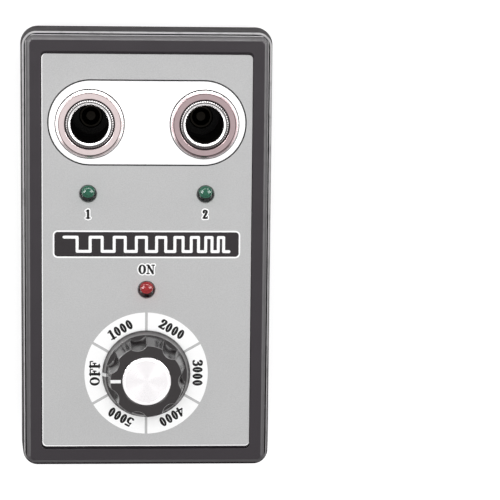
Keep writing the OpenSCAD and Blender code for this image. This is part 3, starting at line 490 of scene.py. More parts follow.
        pad = segments[:, [2, 5]].max() + grow + 2 * cell
        ends = segments[:, [0, 1, 3, 4]].reshape(-1, 2)
        lo, hi = ends.min(axis=0) - pad, ends.max(axis=0) + pad
        xs, ys = np.arange(lo[0], hi[0], cell), np.arange(lo[1], hi[1], cell)
        flat = np.stack(np.meshgrid(xs, ys), axis=-1).reshape(-1, 2)
        cols = len(xs)
        i, j = np.arange(len(ys) - 1)[:, None], np.arange(cols - 1)[None, :]
        corner = (i * cols + j).reshape(-1)
        kept = corner[field_at(flat[corner] + cell / 2) < 0]
        quads = np.stack([kept, kept + 1, kept + cols + 1, kept + cols], axis=-1)
        used, packed, uses = np.unique(quads, return_inverse=True, return_counts=True)
        points, border = flat[used], uses < 4
        eps, passes, flattest = cell * 0.05, 3, 0.25
        for _ in range(passes):
            edge = points[border]
            value = field_at(edge)
            rise = [field_at(edge + step) - value for step in ([eps, 0], [0, eps])]
            slope = np.stack(rise, axis=-1) / eps
            steep = np.maximum((slope**2).sum(-1, keepdims=True), flattest)
            points[border] = edge - np.clip(value[:, None] * slope / steep, -cell, cell)
        points = np.concatenate([points, np.full((len(points), 1), z)], axis=1)
        return Patch(points, packed.reshape(-1, 4).tolist())


class Graph:
    """Wires one node tree."""

    def __init__(self, tree: Tree) -> None:
        """Keep the tree."""
        self.tree = tree

    @staticmethod
    def group(name: str, inputs: dict[str, str], outputs: tuple[str, ...]) -> tuple["Graph", Node, Node]:
        """Open a shader group with float or vector inputs and float outputs.

        Args:
            name: name of the group.
            inputs: names and socket types of its inputs.
            outputs: names of its outputs.

        Returns:
            The graph, its group input node and its group output node.
        """
        tree = bpy.data.node_groups.new(name, "ShaderNodeTree")
        for key, kind in inputs.items():
            tree.interface.new_socket(name=key, in_out="INPUT", socket_type=kind)
        for key in outputs:
            tree.interface.new_socket(name=key, in_out="OUTPUT", socket_type="NodeSocketFloat")
        return Graph(tree), tree.nodes.new("NodeGroupInput"), tree.nodes.new("NodeGroupOutput")

    def feed(self, node: Node, values: dict) -> None:
        """Set the inputs of a node.

        Args:
            node: the node.
            values: input name or index to a constant or to the socket that feeds it.
        """
        for key, value in values.items():
            if isinstance(value, Socket):
                self.tree.links.new(value, node.inputs[key])
            else:
                node.inputs[key].default_value = value

    def add(self, kind: str, values: dict | None = None, **settings: object) -> Node:
        """Add a shader node.

        Args:
            kind: what follows ShaderNode in the node's type.
            values: its inputs, as for feed.
            settings: properties of the node.

        Returns:
            The node.
        """
        node = self.tree.nodes.new(f"ShaderNode{kind}")
        for key, value in settings.items():
            setattr(node, key, value)
        self.feed(node, values or {})
        return node

    def use(self, group: Tree, values: dict | None = None) -> Node:
        """Place a shader group and return its node."""
        return self.add("Group", values, node_tree=group)

    def math(self, how: str, a: object, b: object = 0.0) -> Socket:
        """Return the result of one sum."""
        return self.add("Math", {0: a, 1: b}, operation=how).outputs[0]

    def vector(self, how: str, a: Socket, b: object) -> Socket:
        """Return the result of one sum of vectors."""
        return self.add("VectorMath", {0: a, 1: b}, operation=how).outputs[0]

    def coords(self) -> Socket:
        """Return object coordinates in millimetres."""
        return self.vector("MULTIPLY", self.add("TexCoord").outputs["Object"], (1 / MM,) * 3)

    def noise(self, place: Socket, scale: object, detail: float) -> Socket:
        """Return noise at a place, with its scale in cells to a millimetre."""
        return self.add("TexNoise", {"Vector": place, "Scale": scale, "Detail": detail}).outputs[0]

    def mix(self, mask: Socket, a: object, b: object) -> Socket:
        """Return the mix of two colours, each a constant or a socket, by a mask."""
        a, b = (v if isinstance(v, Socket) else (*v, 1.0) for v in (a, b))
        return self.add("Mix", {"Factor": mask, 6: a, 7: b}, data_type="RGBA").outputs[2]


class Shop:
    """Builds shader groups and materials."""

    BROAD = 0.11  # scale of the broad noise in a grain
    FINE_SHARE = 0.85  # share of the fine noise in a grain's tone
    TURNED = 0.8  # scale of the noise that breaks up turning marks
    SHAKE = 0.04  # mm by which it shakes them
    SMUDGE = 0.16  # scale of the smudges
    SMUDGED = (0.4, 0.65)  # values of their noise between which they set in
    HIGHLIGHT_NOISE = 0.35  # scale of the noise that breaks up a painted highlight
    HIGHLIGHT_FULL = (0.3, 0.5)  # values of that noise between which the painted highlight shows in full
    HIGHLIGHT_LEAST = 0.75  # share of the painted highlight that shows everywhere
    RESIN_INDEX = 1.4  # refractive index of the lamps' resin

    def __init__(self) -> None:
        """Make the shared groups."""
        self.grain, self.turned = self._grain(), self._turned()
        self.handled, self.painted_light_marks = self._handled(), self._painted_light_marks()
        self.made: dict[str, Material] = {}

    @staticmethod
    def _grain() -> Tree:
        """Moulded or printed grain: two sizes of noise, as a height and as an uneven tone.

        Returns:
            The shader group.
        """
        graph, given, out = Graph.group("moulded_grain", {"Cell": "NodeSocketFloat"}, ("Height", "Tone"))
        place = graph.coords()
        fine = graph.noise(place, graph.math("DIVIDE", 1.0, given.outputs["Cell"]), detail=2.0)
        broad = graph.noise(place, Shop.BROAD, detail=3.0)
        shares = ((fine, Shop.FINE_SHARE), (broad, 1.0 - Shop.FINE_SHARE))
        tone = graph.math("ADD", *(graph.math("MULTIPLY", *pair) for pair in shares))
        graph.feed(out, {"Height": fine, "Tone": tone})
        return graph.tree

    @staticmethod
    def _turned() -> Tree:
        """Turning marks: a ripple of the distance from the axis, broken up along the turn.

        Returns:
            The shader group.
        """
        inputs = {"Centre": "NodeSocketVector", "Pitch": "NodeSocketFloat"}
        graph, given, out = Graph.group("turned_marks", inputs, ("Height", "Tone"))
        place = graph.vector("SUBTRACT", graph.coords(), given.outputs["Centre"])
        level = graph.vector("MULTIPLY", place, (1.0, 1.0, 0.0))
        reach = graph.add("VectorMath", {0: level}, operation="LENGTH").outputs["Value"]
        noise = graph.noise(level, Shop.TURNED, detail=2.0)
        shaken = graph.math("ADD", reach, graph.math("MULTIPLY", noise, Shop.SHAKE))
        wave = graph.math("PINGPONG", graph.math("DIVIDE", shaken, given.outputs["Pitch"]), 0.5)
        graph.feed(out, {"Height": graph.math("MULTIPLY", wave, 2.0), "Tone": noise})
        return graph.tree

    @staticmethod
    def _handled() -> Tree:
        """Handling: soft smudges a few millimetres across.

        Returns:
            The shader group.
        """
        graph, _, out = Graph.group("handled_smudge", {}, ("Mask",))
        noise = graph.noise(graph.coords(), Shop.SMUDGE, detail=4.0)
        low, high = Shop.SMUDGED
        graph.feed(out, {"Mask": graph.add("MapRange", {"Value": noise, 1: low, 2: high}).outputs[0]})
        return graph.tree

    @staticmethod
    def _painted_light_marks() -> Tree:
        """Painted highlight and painted shade: the mesh's vertex attribute above zero, broken up by noise, and
        below zero.

        Returns:
            The shader group.
        """
        graph, _, out = Graph.group("painted_light_and_shade", {}, ("PaintedHighlight", "PaintedShade"))
        mark = graph.add("Attribute", attribute_name="painted_light").outputs["Fac"]
        noise = graph.noise(graph.coords(), Shop.HIGHLIGHT_NOISE, detail=3.0)
        low, high = Shop.HIGHLIGHT_FULL
        part = graph.add("MapRange", {"Value": noise, 1: low, 2: high, 3: Shop.HIGHLIGHT_LEAST, 4: 1.0}).outputs[0]
        painted_light_marks = graph.math("MAXIMUM", graph.math("MULTIPLY", mark, part))
        graph.feed(out, {"PaintedHighlight": painted_light_marks, "PaintedShade": graph.math("MAXIMUM", graph.math("MULTIPLY", mark, -1.0))})
        return graph.tree

    def material(self, finish: Finish) -> Material:
        """Make the material of a finish, once.

        Args:
            finish: the finish.

        Returns:
            Its material.
        """
        if finish.name in self.made:
            return self.made[finish.name]
        made = bpy.data.materials.new(finish.name)
        made.use_nodes = True
        graph = Graph(made.node_tree)
        smudge = graph.use(self.handled).outputs[0]
        if finish.pitch > 0:
            texture = graph.use(self.turned, {"Centre": (*finish.axis, 0.0), "Pitch": finish.pitch})
        else:
            texture = graph.use(self.grain, {"Cell": finish.cell})
        height = texture.outputs["Height"]
        bump = graph.add("Bump", {"Strength": 1.0, "Distance": finish.depth * MM, "Height": height})
        rough = graph.add("MapRange", {"Value": smudge, 3: finish.rough, 4: finish.worn})
        colour = graph.mix(texture.outputs["Tone"], finish.tone, finish.shade)
        values = {"Normal": bump.outputs[0], "Roughness": rough.outputs[0],
                  "Specular IOR Level": finish.sheen, "Anisotropic": finish.drawn}
        if finish.ground is Ground.RESIN:
            values |= {"Transmission Weight": 1.0, "IOR": self.RESIN_INDEX}
        else:
            # paint highlights and shade into the base colour
            painted_light = graph.use(self.painted_light_marks)
            colour = graph.mix(painted_light.outputs["PaintedHighlight"], colour, finish.painted_light)
            colour = graph.mix(painted_light.outputs["PaintedShade"], colour, finish.deep)
            values["Metallic"] = float(finish.ground is Ground.METAL)
        graph.feed(made.node_tree.nodes["Principled BSDF"], values | {"Base Color": colour})
        self.made[finish.name] = made
        return made


class Bench:
    """Makes pieces, cuts them and hands them to the frame."""

    def __init__(self, shop: Shop) -> None:
        """Keep the shop that makes materials."""
        self.shop = shop

    def piece(self, name: str, patch: Patch, angle: float = CREASE) -> Piece:
        """Make a mesh object from a patch, shaded smooth up to an angle between faces.

        Args:
            name: name of the piece.
            patch: its surface.
            angle: smooth shading limit in degrees.

        Returns:
            The object, with its place in the mesh.
        """
        mesh = bpy.data.meshes.new(name)
        mesh.from_pydata((patch.points * MM).tolist(), [], patch.faces)
        mesh.validate()
        made = bpy.data.objects.new(name, mesh)
        bpy.context.scene.collection.objects.link(made)
        self.smooth(made, angle)
        return made

    @staticmethod
    def smooth(made: Piece, angle: float) -> None:
        """Shade smooth, with sharp edges above an angle.

        Args:
            made: piece to shade.
            angle: smooth shading limit in degrees.
        """
        mesh = made.data
        mesh.polygons.foreach_set("use_smooth", np.ones(len(mesh.polygons), dtype=bool))
        mesh.set_sharp_from_angle(angle=np.radians(angle))

    @staticmethod
    def thicken(made: Piece, depth: float) -> None:
        """Give a flat sheet a thickness below it, shaded flat so that its edges stay crisp.

        Args:
            made: the sheet.
            depth: thickness in mm.
        """
        made.data.shade_flat()
        solid = made.modifiers.new("thickness", "SOLIDIFY")
        solid.thickness = depth * MM
        solid.offset = -1.0

    @staticmethod
    def even(made: Piece) -> None:
        """Let large faces keep their own direction beside small rounded ones."""
        made.modifiers.new("even", "WEIGHTED_NORMAL").keep_sharp = True

    def cut(self, made: Piece, tools: Patch, how: str = "DIFFERENCE", angle: float = CREASE) -> None:
        """Cut tools out of a piece, or join them to it, and keep the result as its mesh.

        Args:
            made: piece to work on.
            tools: closed shapes.
            how: Boolean operation.
            angle: smooth shading limit of the result in degrees.
        """
        other = self.piece("tools", tools)
        step = made.modifiers.new("cut", "BOOLEAN")
        step.object, step.operation, step.solver, step.use_self = other, how, "EXACT", True
        result = bpy.data.meshes.new_from_object(made.evaluated_get(bpy.context.evaluated_depsgraph_get()))
        made.modifiers.clear()
        old, made.data = made.data, result
        bpy.data.meshes.remove(old)
        spare = other.data
        bpy.data.objects.remove(other)
        bpy.data.meshes.remove(spare)
        result.name = made.name
        self.smooth(made, angle)

    @staticmethod
    def painted_light(made: Piece, amount: Array) -> None:
        """Write each vertex's painted light into the mesh: above zero painted highlight, below zero painted
        shade.
        """
        layer = made.data.attributes.new("painted_light", "FLOAT", "POINT")
        layer.data.foreach_set("value", np.asarray(amount, dtype=np.float32))

    @staticmethod
    def points(made: Piece) -> Array:
        """Read a piece's vertices.

        Args:
            made: piece to read.

        Returns:
            Rows of x, y and z in mm.
        """
        flat = np.empty(len(made.data.vertices) * 3)
        made.data.vertices.foreach_get("co", flat)
        return flat.reshape(-1, 3) / MM

    def hand_in(self, made: Piece, finish: Finish, body: str, nodes: tuple[str, ...] = ()) -> None:
        """Give a piece its finish and its body, and hide the nodes that it stands for.

        Args:
            made: piece to hand in.
            finish: its finish.
            body: body that it rides on.
            nodes: nodes of the frame that it replaces.
        """
        made.data.materials.clear()
        made.data.materials.append(self.shop.material(finish))
        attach(made, body)
        if nodes:
            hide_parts(*nodes)

    def dress(self, finish: Finish, *nodes: str) -> None:
        """Give nodes of the frame a finish.

        Args:
            finish: the finish.
            nodes: nodes to dress.
        """
        made = self.shop.material(finish)
        for node in nodes:
            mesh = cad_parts[node].data
            mesh.materials.clear()
            mesh.materials.append(made)


@dataclass(frozen=True)
class Span:
    """Box of one of the frame's nodes."""

    lo: Array  # lowest corner in mm
    hi: Array  # highest corner in mm

    @staticmethod
    def of(node: str) -> "Span":
        """Return the box of a node."""
        lo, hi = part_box(node)
        return Span(np.array(lo) / MM, np.array(hi) / MM)

    @property
    def mid(self) -> Array:
        """Return the middle."""
        return (self.lo + self.hi) / 2

    @property
    def spot(self) -> Array:
        """Return the middle's x and y."""
        return self.mid[:2]

    @property
    def size(self) -> Array:
        """Return the sizes along X, Y and Z."""
        return self.hi - self.lo

    @property
    def radius(self) -> float:
        """Return half the size along X, the radius of a round node."""
        return self.size[0] / 2


LAMPS = ("led_power", "led_signal_left", "led_signal_right")
PLASTIC, METAL, INK, RESIN = Ground

# Each finish: name, ground, tone, shade, roughness clean and handled, size and height of the grain.
CASE_BLACK = Finish("case_black", PLASTIC, (0.0135, 0.01, 0.0135), (0.024, 0.0185, 0.023), 0.4, 0.46, 0.28,
                    0.006, sheen=0.38)
# the pale colour given here is the painted highlight on the tray's rim
BASE_BLACK = Finish("base_black", PLASTIC, (0.013, 0.01, 0.012), (0.024, 0.02, 0.022), 0.6, 0.68, 0.3, 0.007,
                    painted_light=(0.9, 0.89, 0.9), sheen=0.07)
LABEL_GREY = Finish("label_grey", INK, (0.585, 0.585, 0.587), (0.37, 0.37, 0.372), 0.5, 0.6, 0.3, 0.002)
INK_WHITE = Finish("ink_white", INK, (0.99, 0.99, 0.99), (0.95, 0.95, 0.95), 0.5, 0.56, 0.35, 0.002)
INK_BLACK = Finish("ink_black", INK, (0.004, 0.004, 0.004), (0.01, 0.009, 0.01), 0.5, 0.6, 0.3, 0.002,
                   sheen=0.2)
BANNER_BLACK = Finish("banner_black", INK, (0.018, 0.015, 0.017), (0.028, 0.024, 0.026), 0.6, 0.68, 0.3,
                      0.002, sheen=0.2)
# the pale colour given here is the painted highlight on the knob's edges
KNOB_BLACK = Finish("knob_black", PLASTIC, (0.01, 0.007, 0.008), (0.016, 0.012, 0.013), 0.18, 0.23, 0.6,
                    0.001, painted_light=(0.62, 0.61, 0.61))
INSULATOR = Finish("insulator_black", PLASTIC, (0.003, 0.0026, 0.0024), (0.006, 0.005, 0.005), 0.28, 0.36,
                   0.5, 0.002, sheen=0.12)
# near-black metal on the brass plunger: painted shade at the bottom of the socket's bore
CONTACT_SHADE = Finish("contact_painted_shade", METAL, (0.02, 0.018, 0.015), (0.035, 0.031, 0.026), 0.35, 0.45, 0.3, 0.002)
JACK_BLACK = Finish("jack_black", PLASTIC, (0.014, 0.013, 0.014), (0.022, 0.021, 0.022), 0.3, 0.4, 0.4, 0.003)
RED_RESIN = Finish("red_resin", RESIN, (0.47, 0.018, 0.022), (0.41, 0.014, 0.018), 0.03, 0.06, 2.0, 0.001)
GREEN_RESIN = Finish("green_resin", RESIN, (0.022, 0.165, 0.095), (0.018, 0.145, 0.083), 0.03, 0.06, 2.0,
                     0.001)
CUP_SILVER = Finish("cup_silver", METAL, (0.85, 0.85, 0.85), (0.78, 0.78, 0.78), 0.25, 0.35, 0.3, 0.002)
PAINT_WHITE = Finish("paint_white", INK, (0.9, 0.9, 0.9), (0.83, 0.83, 0.83), 0.4, 0.5, 0.4, 0.003)
BRASS = Finish("brass_bare", METAL, (0.60, 0.42, 0.15), (0.52, 0.35, 0.12), 0.24, 0.36, 0.3, 0.002)
STEEL = Finish("zinc_steel", METAL, (0.46, 0.46, 0.48), (0.36, 0.36, 0.38), 0.3, 0.42, 0.25, 0.003)
SPRING = Finish("spring_wire", METAL, (0.5, 0.5, 0.52), (0.4, 0.4, 0.42), 0.28, 0.38, 0.25, 0.002)
TIN = Finish("tinned_wire", METAL, (0.62, 0.62, 0.62), (0.5, 0.5, 0.5), 0.35, 0.48, 0.25, 0.003)
CAN = Finish("pressed_can", METAL, (0.5, 0.51, 0.52), (0.4, 0.41, 0.42), 0.3, 0.42, 0.4, 0.003)
SINK = Finish("sink_extruded", METAL, (0.45, 0.46, 0.48), (0.36, 0.37, 0.39), 0.4, 0.5, 0.25, 0.004)
NYLON = Finish("nylon_natural", PLASTIC, (0.74, 0.72, 0.67), (0.66, 0.64, 0.58), 0.45, 0.55, 0.4, 0.003)
BOARD = Finish("board_mask", PLASTIC, (0.028, 0.15, 0.062), (0.02, 0.11, 0.045), 0.35, 0.45, 0.5, 0.004)
CHIP = Finish("chip_moulded", PLASTIC, (0.016, 0.016, 0.016), (0.028, 0.028, 0.028), 0.5, 0.58, 0.15, 0.006)
SLEEVE = Finish("capacitor_sleeve", PLASTIC, (0.02, 0.03, 0.078), (0.03, 0.04, 0.09), 0.25, 0.35, 0.6, 0.003)
LACQUER = Finish("resistor_lacquer", PLASTIC, (0.68, 0.54, 0.32), (0.6, 0.46, 0.26), 0.35, 0.45, 0.5, 0.006)
IRON = Finish("core_iron", METAL, (0.11, 0.11, 0.12), (0.08, 0.075, 0.075), 0.5, 0.6, 0.3, 0.008)
POTTING = Finish("coil_resin", PLASTIC, (0.022, 0.022, 0.024), (0.032, 0.032, 0.034), 0.18, 0.3, 1.2, 0.01)
WIRE_RED = Finish("lead_red", PLASTIC, (0.22, 0.018, 0.02), (0.17, 0.013, 0.015), 0.5, 0.6, 0.4, 0.004)
WIRE_BLACK = Finish("lead_black", PLASTIC, (0.024, 0.024, 0.027), (0.034, 0.034, 0.037), 0.5, 0.6, 0.4, 0.004)


def nickel(name: str, axis: Array, tone: Triple) -> Finish:
    """Make turned nickel plate.

    Args:
        name: name of the finish.
        axis: x and y of the axis that it's turned about.
        tone: linear colour of the plate.

    Returns:
        The finish.
    """
    shade = tuple(0.88 * c for c in tone)
    # the pale and the near-black colours here are the painted highlight and painted shade on the nuts and
    # tubes
    return Finish(name, METAL, tone, shade, 0.22, 0.28, depth=0.0004, pitch=0.17, axis=tuple(axis),
                  painted_light=(0.95, 0.94, 0.94), deep=(0.004, 0.0035, 0.004))


@dataclass(frozen=True)
class CaseLightPaint:
    """Painted highlights and painted shade along the edges of the case."""

    # Share of the length at which the far end's painted light begins, and the run over which it takes hold.
    far: Pair = (0.42, 4.0)
    near: Pair = (0.46, 3.0)  # the same for the near end of the rim
    foot: Pair = (0.48, 3.0)  # the same for the near end of the bevel
    # Strength of the painted highlight on the rim's inner half on the left and on the right, and on the rim at
    # the far end.
    rim: Triple = (0.65, 0.4, 0.62)
    rim_skin: float = 0.07  # depth of the rim's skin that carries the painted highlight
    rim_plain: float = 0.05  # width of the strip at the rim's outer edge without painted highlight
    gap_skin: float = 0.3  # how far the painted shade in the gap inside the rim reaches below the ledge
    gap_lap: float = 0.02  # how far it laps over the rim's inner edge
    lip: float = 0.75  # strength of the painted highlight on the cover's lip at the far end
    lip_skin: float = 0.04  # half thickness of the lip's skin that carries the painted highlight
    lip_run: float = 0.25  # how far that skin runs on past the lip
    lip_drop: float = 0.03  # depth below the lip's top at which its side carries painted shade
    bevel: float = 0.6  # strength of the painted highlight on the bevel at its upper edge
    bevel_far: float = 0.7  # share of that which the far end loses
    bevel_skin: Pair = (0.2, 0.05)  # how far the bevel's painted highlight reaches below it and beside it


@dataclass
class Case:
    """Base tray and front cover."""

    steps: int = 14  # points on each corner
    wall: float = 1.95  # thickness of the tray's side at the rim
    floor: float = 2.4  # thickness of the tray's floor
    belt_out: float = 0.95  # how far the tray's widest line stands out from its rim
    belt_drop: float = 12.7  # depth of that line below the rim
    foot_in: float = 1.1  # how far the foot draws in from that line
    radius: float = 5.15  # the tray's corner radius at its widest line
    # Radii at the foot, at the widest line, inside the ledge and round the floor.
    rounds: tuple[float, float, float, float] = (0.45, 1.5, 0.15, 0.8)
    flat: float = 2.0  # width of the level strips at the edges of the underside and of the floor
    rim: float = 0.6  # width of the tray's rim
    crest: float = 0.08  # radius of the rim's inner edge, half that of its outer edge
    highlight_from: Pair = (0.45, 0.55)  # shares of the rim's width between which its painted highlight on the inner half begins
    step: float = 1.0  # depth of the ledge that the cover stands on, below the rim
    tower: Pair = (29.25, 56.5)  # places of the screw towers
    tower_size: Pair = (8.4, 22.0)  # diameter of a tower and height of its top
    tower_root: float = 0.6  # how deep a tower stands in the floor
    well: Pair = (3.1, 18.0)  # radius and depth of a screw's well
    well_mouth: Pair = (3.35, 0.25)  # radius of the well's mouth and the height at which it ends
    shank: float = 1.7  # radius of the hole for a screw's shank
    inlet_hole: Pair = (4.05, 2.2)  # radius of the inlet's hole and its depth behind the ring nut's seat
    inlet_seat: Pair = (6.1, 1.7)  # radius and depth of that seat
    inlet_flare: Pair = (6.35, 2.2)  # radius of the seat's mouth and the depth at which it ends
    inlet_room: float = 5.0  # how far the cut for the seat runs out
    tongue: float = 2.0  # depth of the cover's tongue below the ledge
    tongue_in: Pair = (1.5, 2.9)  # insets of the tongue's outer and inner side
    tongue_round: float = 0.6  # radius between the tongue and the plate
    fit: float = 0.1  # inset of the cover's foot
    lip: float = 0.15  # width of the cover's lower lip
    lip_rise: float = 0.3  # height of the lip's top over the rim
    # How far the lip's top runs on past the lip, and how far it rises there.
    lip_run: Pair = (0.17, 0.02)
    lip_rounds: Pair = (0.05, 0.03)  # radii of the lip's outer and inner edge
    flare: float = 0.2  # how much the cover's side widens downwards
    bevel: float = 1.1  # width and height of the bevel round the face
    bevel_foot: float = 0.05  # how far the bevel's foot stands in from the side
    bevel_round: float = 0.5  # radius of the bevel's edges
    cover_radius: float = 2.6  # the cover's corner radius
    plate: float = 39.6  # height of the front plate's underside
    plate_in: float = 6.0  # inset at which the flat underside begins
    recess: float = 0.6  # depth of the label's recess
    recess_low: float = 0.02  # how far the recess's floor lies below the label
    recess_round: float = 0.12  # radius of the recess's edge
    recess_gap: float = 0.2  # space round the label
    moat: Pair = (0.6, 1.6)  # width and depth of the gap round the label
    label_radius: float = 1.2  # corner radius of the label
    hole_room: float = 0.1  # space in the holes for the tubes and the bush
    lamp_room: float = -0.4  # space in the lamps' holes, below 0 because their flanges stay behind the plate
    light_paint: CaseLightPaint = CaseLightPaint()  # painted highlights and painted shade on the edges

    def build(self, bench: Bench) -> None:
        """Make the tray and the cover."""
        self._tray(bench)
        self._cover(bench)

    def _tray(self, bench: Bench) -> None:
        """Tray: one profile round the case, from the foot over the rim and the ledge to the floor inside.

        Args:
            bench: bench that makes the piece.
        """
        box = Span.of("base_shell")
        rim_z = box.hi[2]
        rim_in = self.belt_out + self.rim
        inside = self.belt_out + self.wall
        ledge = rim_z - self.step
        foot, belt, shelf, bottom = self.rounds
        # points that bound the painted highlight on the rim's inner half
        worn = [(self.belt_out + share * self.rim, rim_z, 0.0) for share in self.highlight_from]
        profile = Form.fillet([
            (self.foot_in + self.flat, 0.0, 0.0), (self.foot_in, 0.0, foot),
            (0.0, rim_z - self.belt_drop, belt), (self.belt_out, rim_z, 2 * self.crest), *worn,
            (rim_in, rim_z, self.crest), (rim_in, ledge, 0.0), (inside, ledge, shelf),
            (inside, self.floor, bottom), (inside + self.flat, self.floor, 0.0)])
        tray = bench.piece("case_tray", Form.loft(profile, *box.size[:2], self.radius, self.steps))
        tx, ty = self.tower
        places = [(x, y) for x in (-tx, tx) for y in (-ty, ty)]
        across, top = self.tower_size
        towers = [Form.rod(across, self.floor - self.tower_root, top).moved(*place) for place in places]
        bench.cut(tray, Patch.merged(towers), "UNION")
        wells = [self._well().moved(*place) for place in places]
        bench.cut(tray, Patch.merged([*wells, self._inlet()]))
        # painted highlight on the rim, painted shade in the gap inside it
        bench.painted_light(tray, self._tray_light_paint(bench.points(tray), box))
        bench.even(tray)
        bench.hand_in(tray, BASE_BLACK, "case", ("base_shell",))

    def _well(self) -> Patch:
        """Shape the tool for a screw's well and shank, turned about the Z axis.

        Returns:
            The closed patch.
        """
        (mouth, end), (radius, deep) = self.well_mouth, self.well
        top = self.tower_size[1] + PAST
        return Form.lathe(np.array([[0, -PAST], [mouth, -PAST], [radius, end], [radius, deep],
                                    [self.shank, deep], [self.shank, top], [0, top]]), count=48)

    def _inlet(self) -> Patch:
        """Shape the tool for the inlet's hole and the seat of its ring nut, turned about the inlet's axis.

        Returns:
            The closed patch in its place.
        """
        nut = Span.of("dc_jack_nut")
        (hole, back), (seat, deep), (mouth, end) = self.inlet_hole, self.inlet_seat, self.inlet_flare
        tool = Form.lathe(np.array([[0, -back], [hole, -back], [hole, 0], [seat, 0], [seat, deep],
                                    [mouth, end], [mouth, self.inlet_room], [0, self.inlet_room]]), count=64)
        return tool.turned(Matrix.Rotation(np.pi / 2, 4, "X")).moved(nut.mid[0], nut.hi[1], nut.mid[2])

    @staticmethod
    def _inset(p: Array, box: Span) -> Array:
        """Return how far points lie inside the sides of a box."""
        return np.minimum(box.size[0] / 2 - np.abs(p[:, 0]), box.size[1] / 2 - np.abs(p[:, 1]))

    def _tray_light_paint(self, p: Array, box: Span) -> Array:
        """Painted light on the tray: painted highlight on the rim's inner half and far end, painted shade in
        its gap.

        Args:
            p: the tray's vertices.
            box: the tray's box.

        Returns:
            Painted light of each vertex: above 0 painted highlight, below 0 painted shade.
        """
        light_paint, length, rim_z = self.light_paint, box.size[1], box.hi[2]
        inset = self._inset(p, box)
        far = Form.ramp(p[:, 1], light_paint.far[0] * length, light_paint.far[1])
        near = Form.ramp(-p[:, 1], light_paint.near[0] * length, light_paint.near[1])
        left, right, end = light_paint.rim
        half = np.where(p[:, 0] < 0, left, right) * (1.0 - near)
        inner = np.where(inset > self.belt_out + self.rim / 2, half, 0.0)
        pale = (p[:, 2] > rim_z - light_paint.rim_skin) & (inset > self.belt_out + light_paint.rim_plain)
        gap = inset > self.belt_out + self.rim - light_paint.gap_lap
        sunk = gap & (p[:, 2] > rim_z - self.step - light_paint.gap_skin)
        return np.where(pale, inner + far * (end - inner), np.where(sunk, -1.0, 0.0))

    def _cover(self, bench: Bench) -> None:
        """Cover: one profile from the plate's underside round the tongue, lip, side and bevel to the recess.

        Args:
            bench: bench that makes the piece.
        """
        box = Span.of("front_cover")
        top, rim_z = box.hi[2], Span.of("base_shell").hi[2]
        side = self.lip + self.flare
        edge = (box.size[0] - Span.of("front_label").size[0]) / 2 - self.recess_gap
        lip_z, ledge = rim_z + self.lip_rise, rim_z - self.step
        low, seat = ledge - self.tongue, top - self.recess - self.recess_low
        (outer, inner), (run, rise), (gap, deep) = self.tongue_in, self.lip_run, self.moat
        profile = Form.fillet([
            (self.plate_in, self.plate, 0.0), (inner, self.plate, self.tongue_round), (inner, low, 0.0),
            (outer, low, 0.0), (outer, ledge, 0.0), (self.fit, ledge, 0.0),
            (self.fit, lip_z, self.lip_rounds[0]), (self.lip + run, lip_z + rise, self.lip_rounds[1]),
            (side + self.bevel_foot, top - self.bevel, self.bevel_round),
            (side + self.bevel, top, self.bevel_round), (edge, top, self.recess_round),
            (edge, top - deep, 0.0), (edge + gap, top - deep, 0.0), (edge + gap, seat, 0.0),
            (edge + 2 * gap, seat, 0.0)])
        least = self.label_radius + self.recess_gap
        cover = bench.piece("front_cover_face",
                            Form.loft(profile, *box.size[:2], self.cover_radius, self.steps, least))
        holes = []
        for node in (*(f"socket_tube_{which.value}" for which in Side), *LAMPS, "pot_bush"):
            hole, room = Span.of(node), self.lamp_room if node in LAMPS else self.hole_room
            rod = Form.rod(hole.size[0] + room, self.plate - 2 * PAST, top + 2 * PAST, count=64)
            holes.append(rod.moved(*hole.spot))
        bench.cut(cover, Patch.merged(holes))
        # painted highlights on the lip and the bevel, painted shade on the side below the lip
        bench.painted_light(cover, self._cover_light_paint(bench.points(cover), box, lip_z))
        bench.even(cover)
        bench.hand_in(cover, CASE_BLACK, "case", ("front_cover",))

    def _cover_light_paint(self, p: Array, box: Span, lip_z: float) -> Array:
        """Painted light on the cover: painted highlight on the far lip and, rising upwards, on the bevel;
        painted shade below the lip.

        Args:
            p: the cover's vertices.
            box: the cover's box.
            lip_z: height of the lip's top.

        Returns:
            Painted light of each vertex: above 0 painted highlight, below 0 painted shade.
        """
        light_paint, length, top, side = self.light_paint, box.size[1], box.hi[2], self.lip + self.flare
        inset = self._inset(p, box)
        far = Form.ramp(p[:, 1], light_paint.far[0] * length, light_paint.far[1])
        foot = Form.ramp(p[:, 1], -light_paint.foot[0] * length, light_paint.foot[1])
        lip = (np.abs(p[:, 2] - lip_z) < light_paint.lip_skin) & (inset < self.lip + light_paint.lip_run)
        sunk = (p[:, 2] < lip_z - light_paint.lip_drop) & (inset < self.lip)
        below, beside = light_paint.bevel_skin
        slope = (p[:, 2] > top - self.bevel - below) & (inset > side - beside) & (inset < side + self.bevel)
        gleam = light_paint.bevel * Form.ramp(inset, side, self.bevel) * (1.0 - light_paint.bevel_far * far) * foot
        return np.where(lip, light_paint.lip * far, np.where(sunk, -1.0, np.where(slope, gleam, 0.0)))


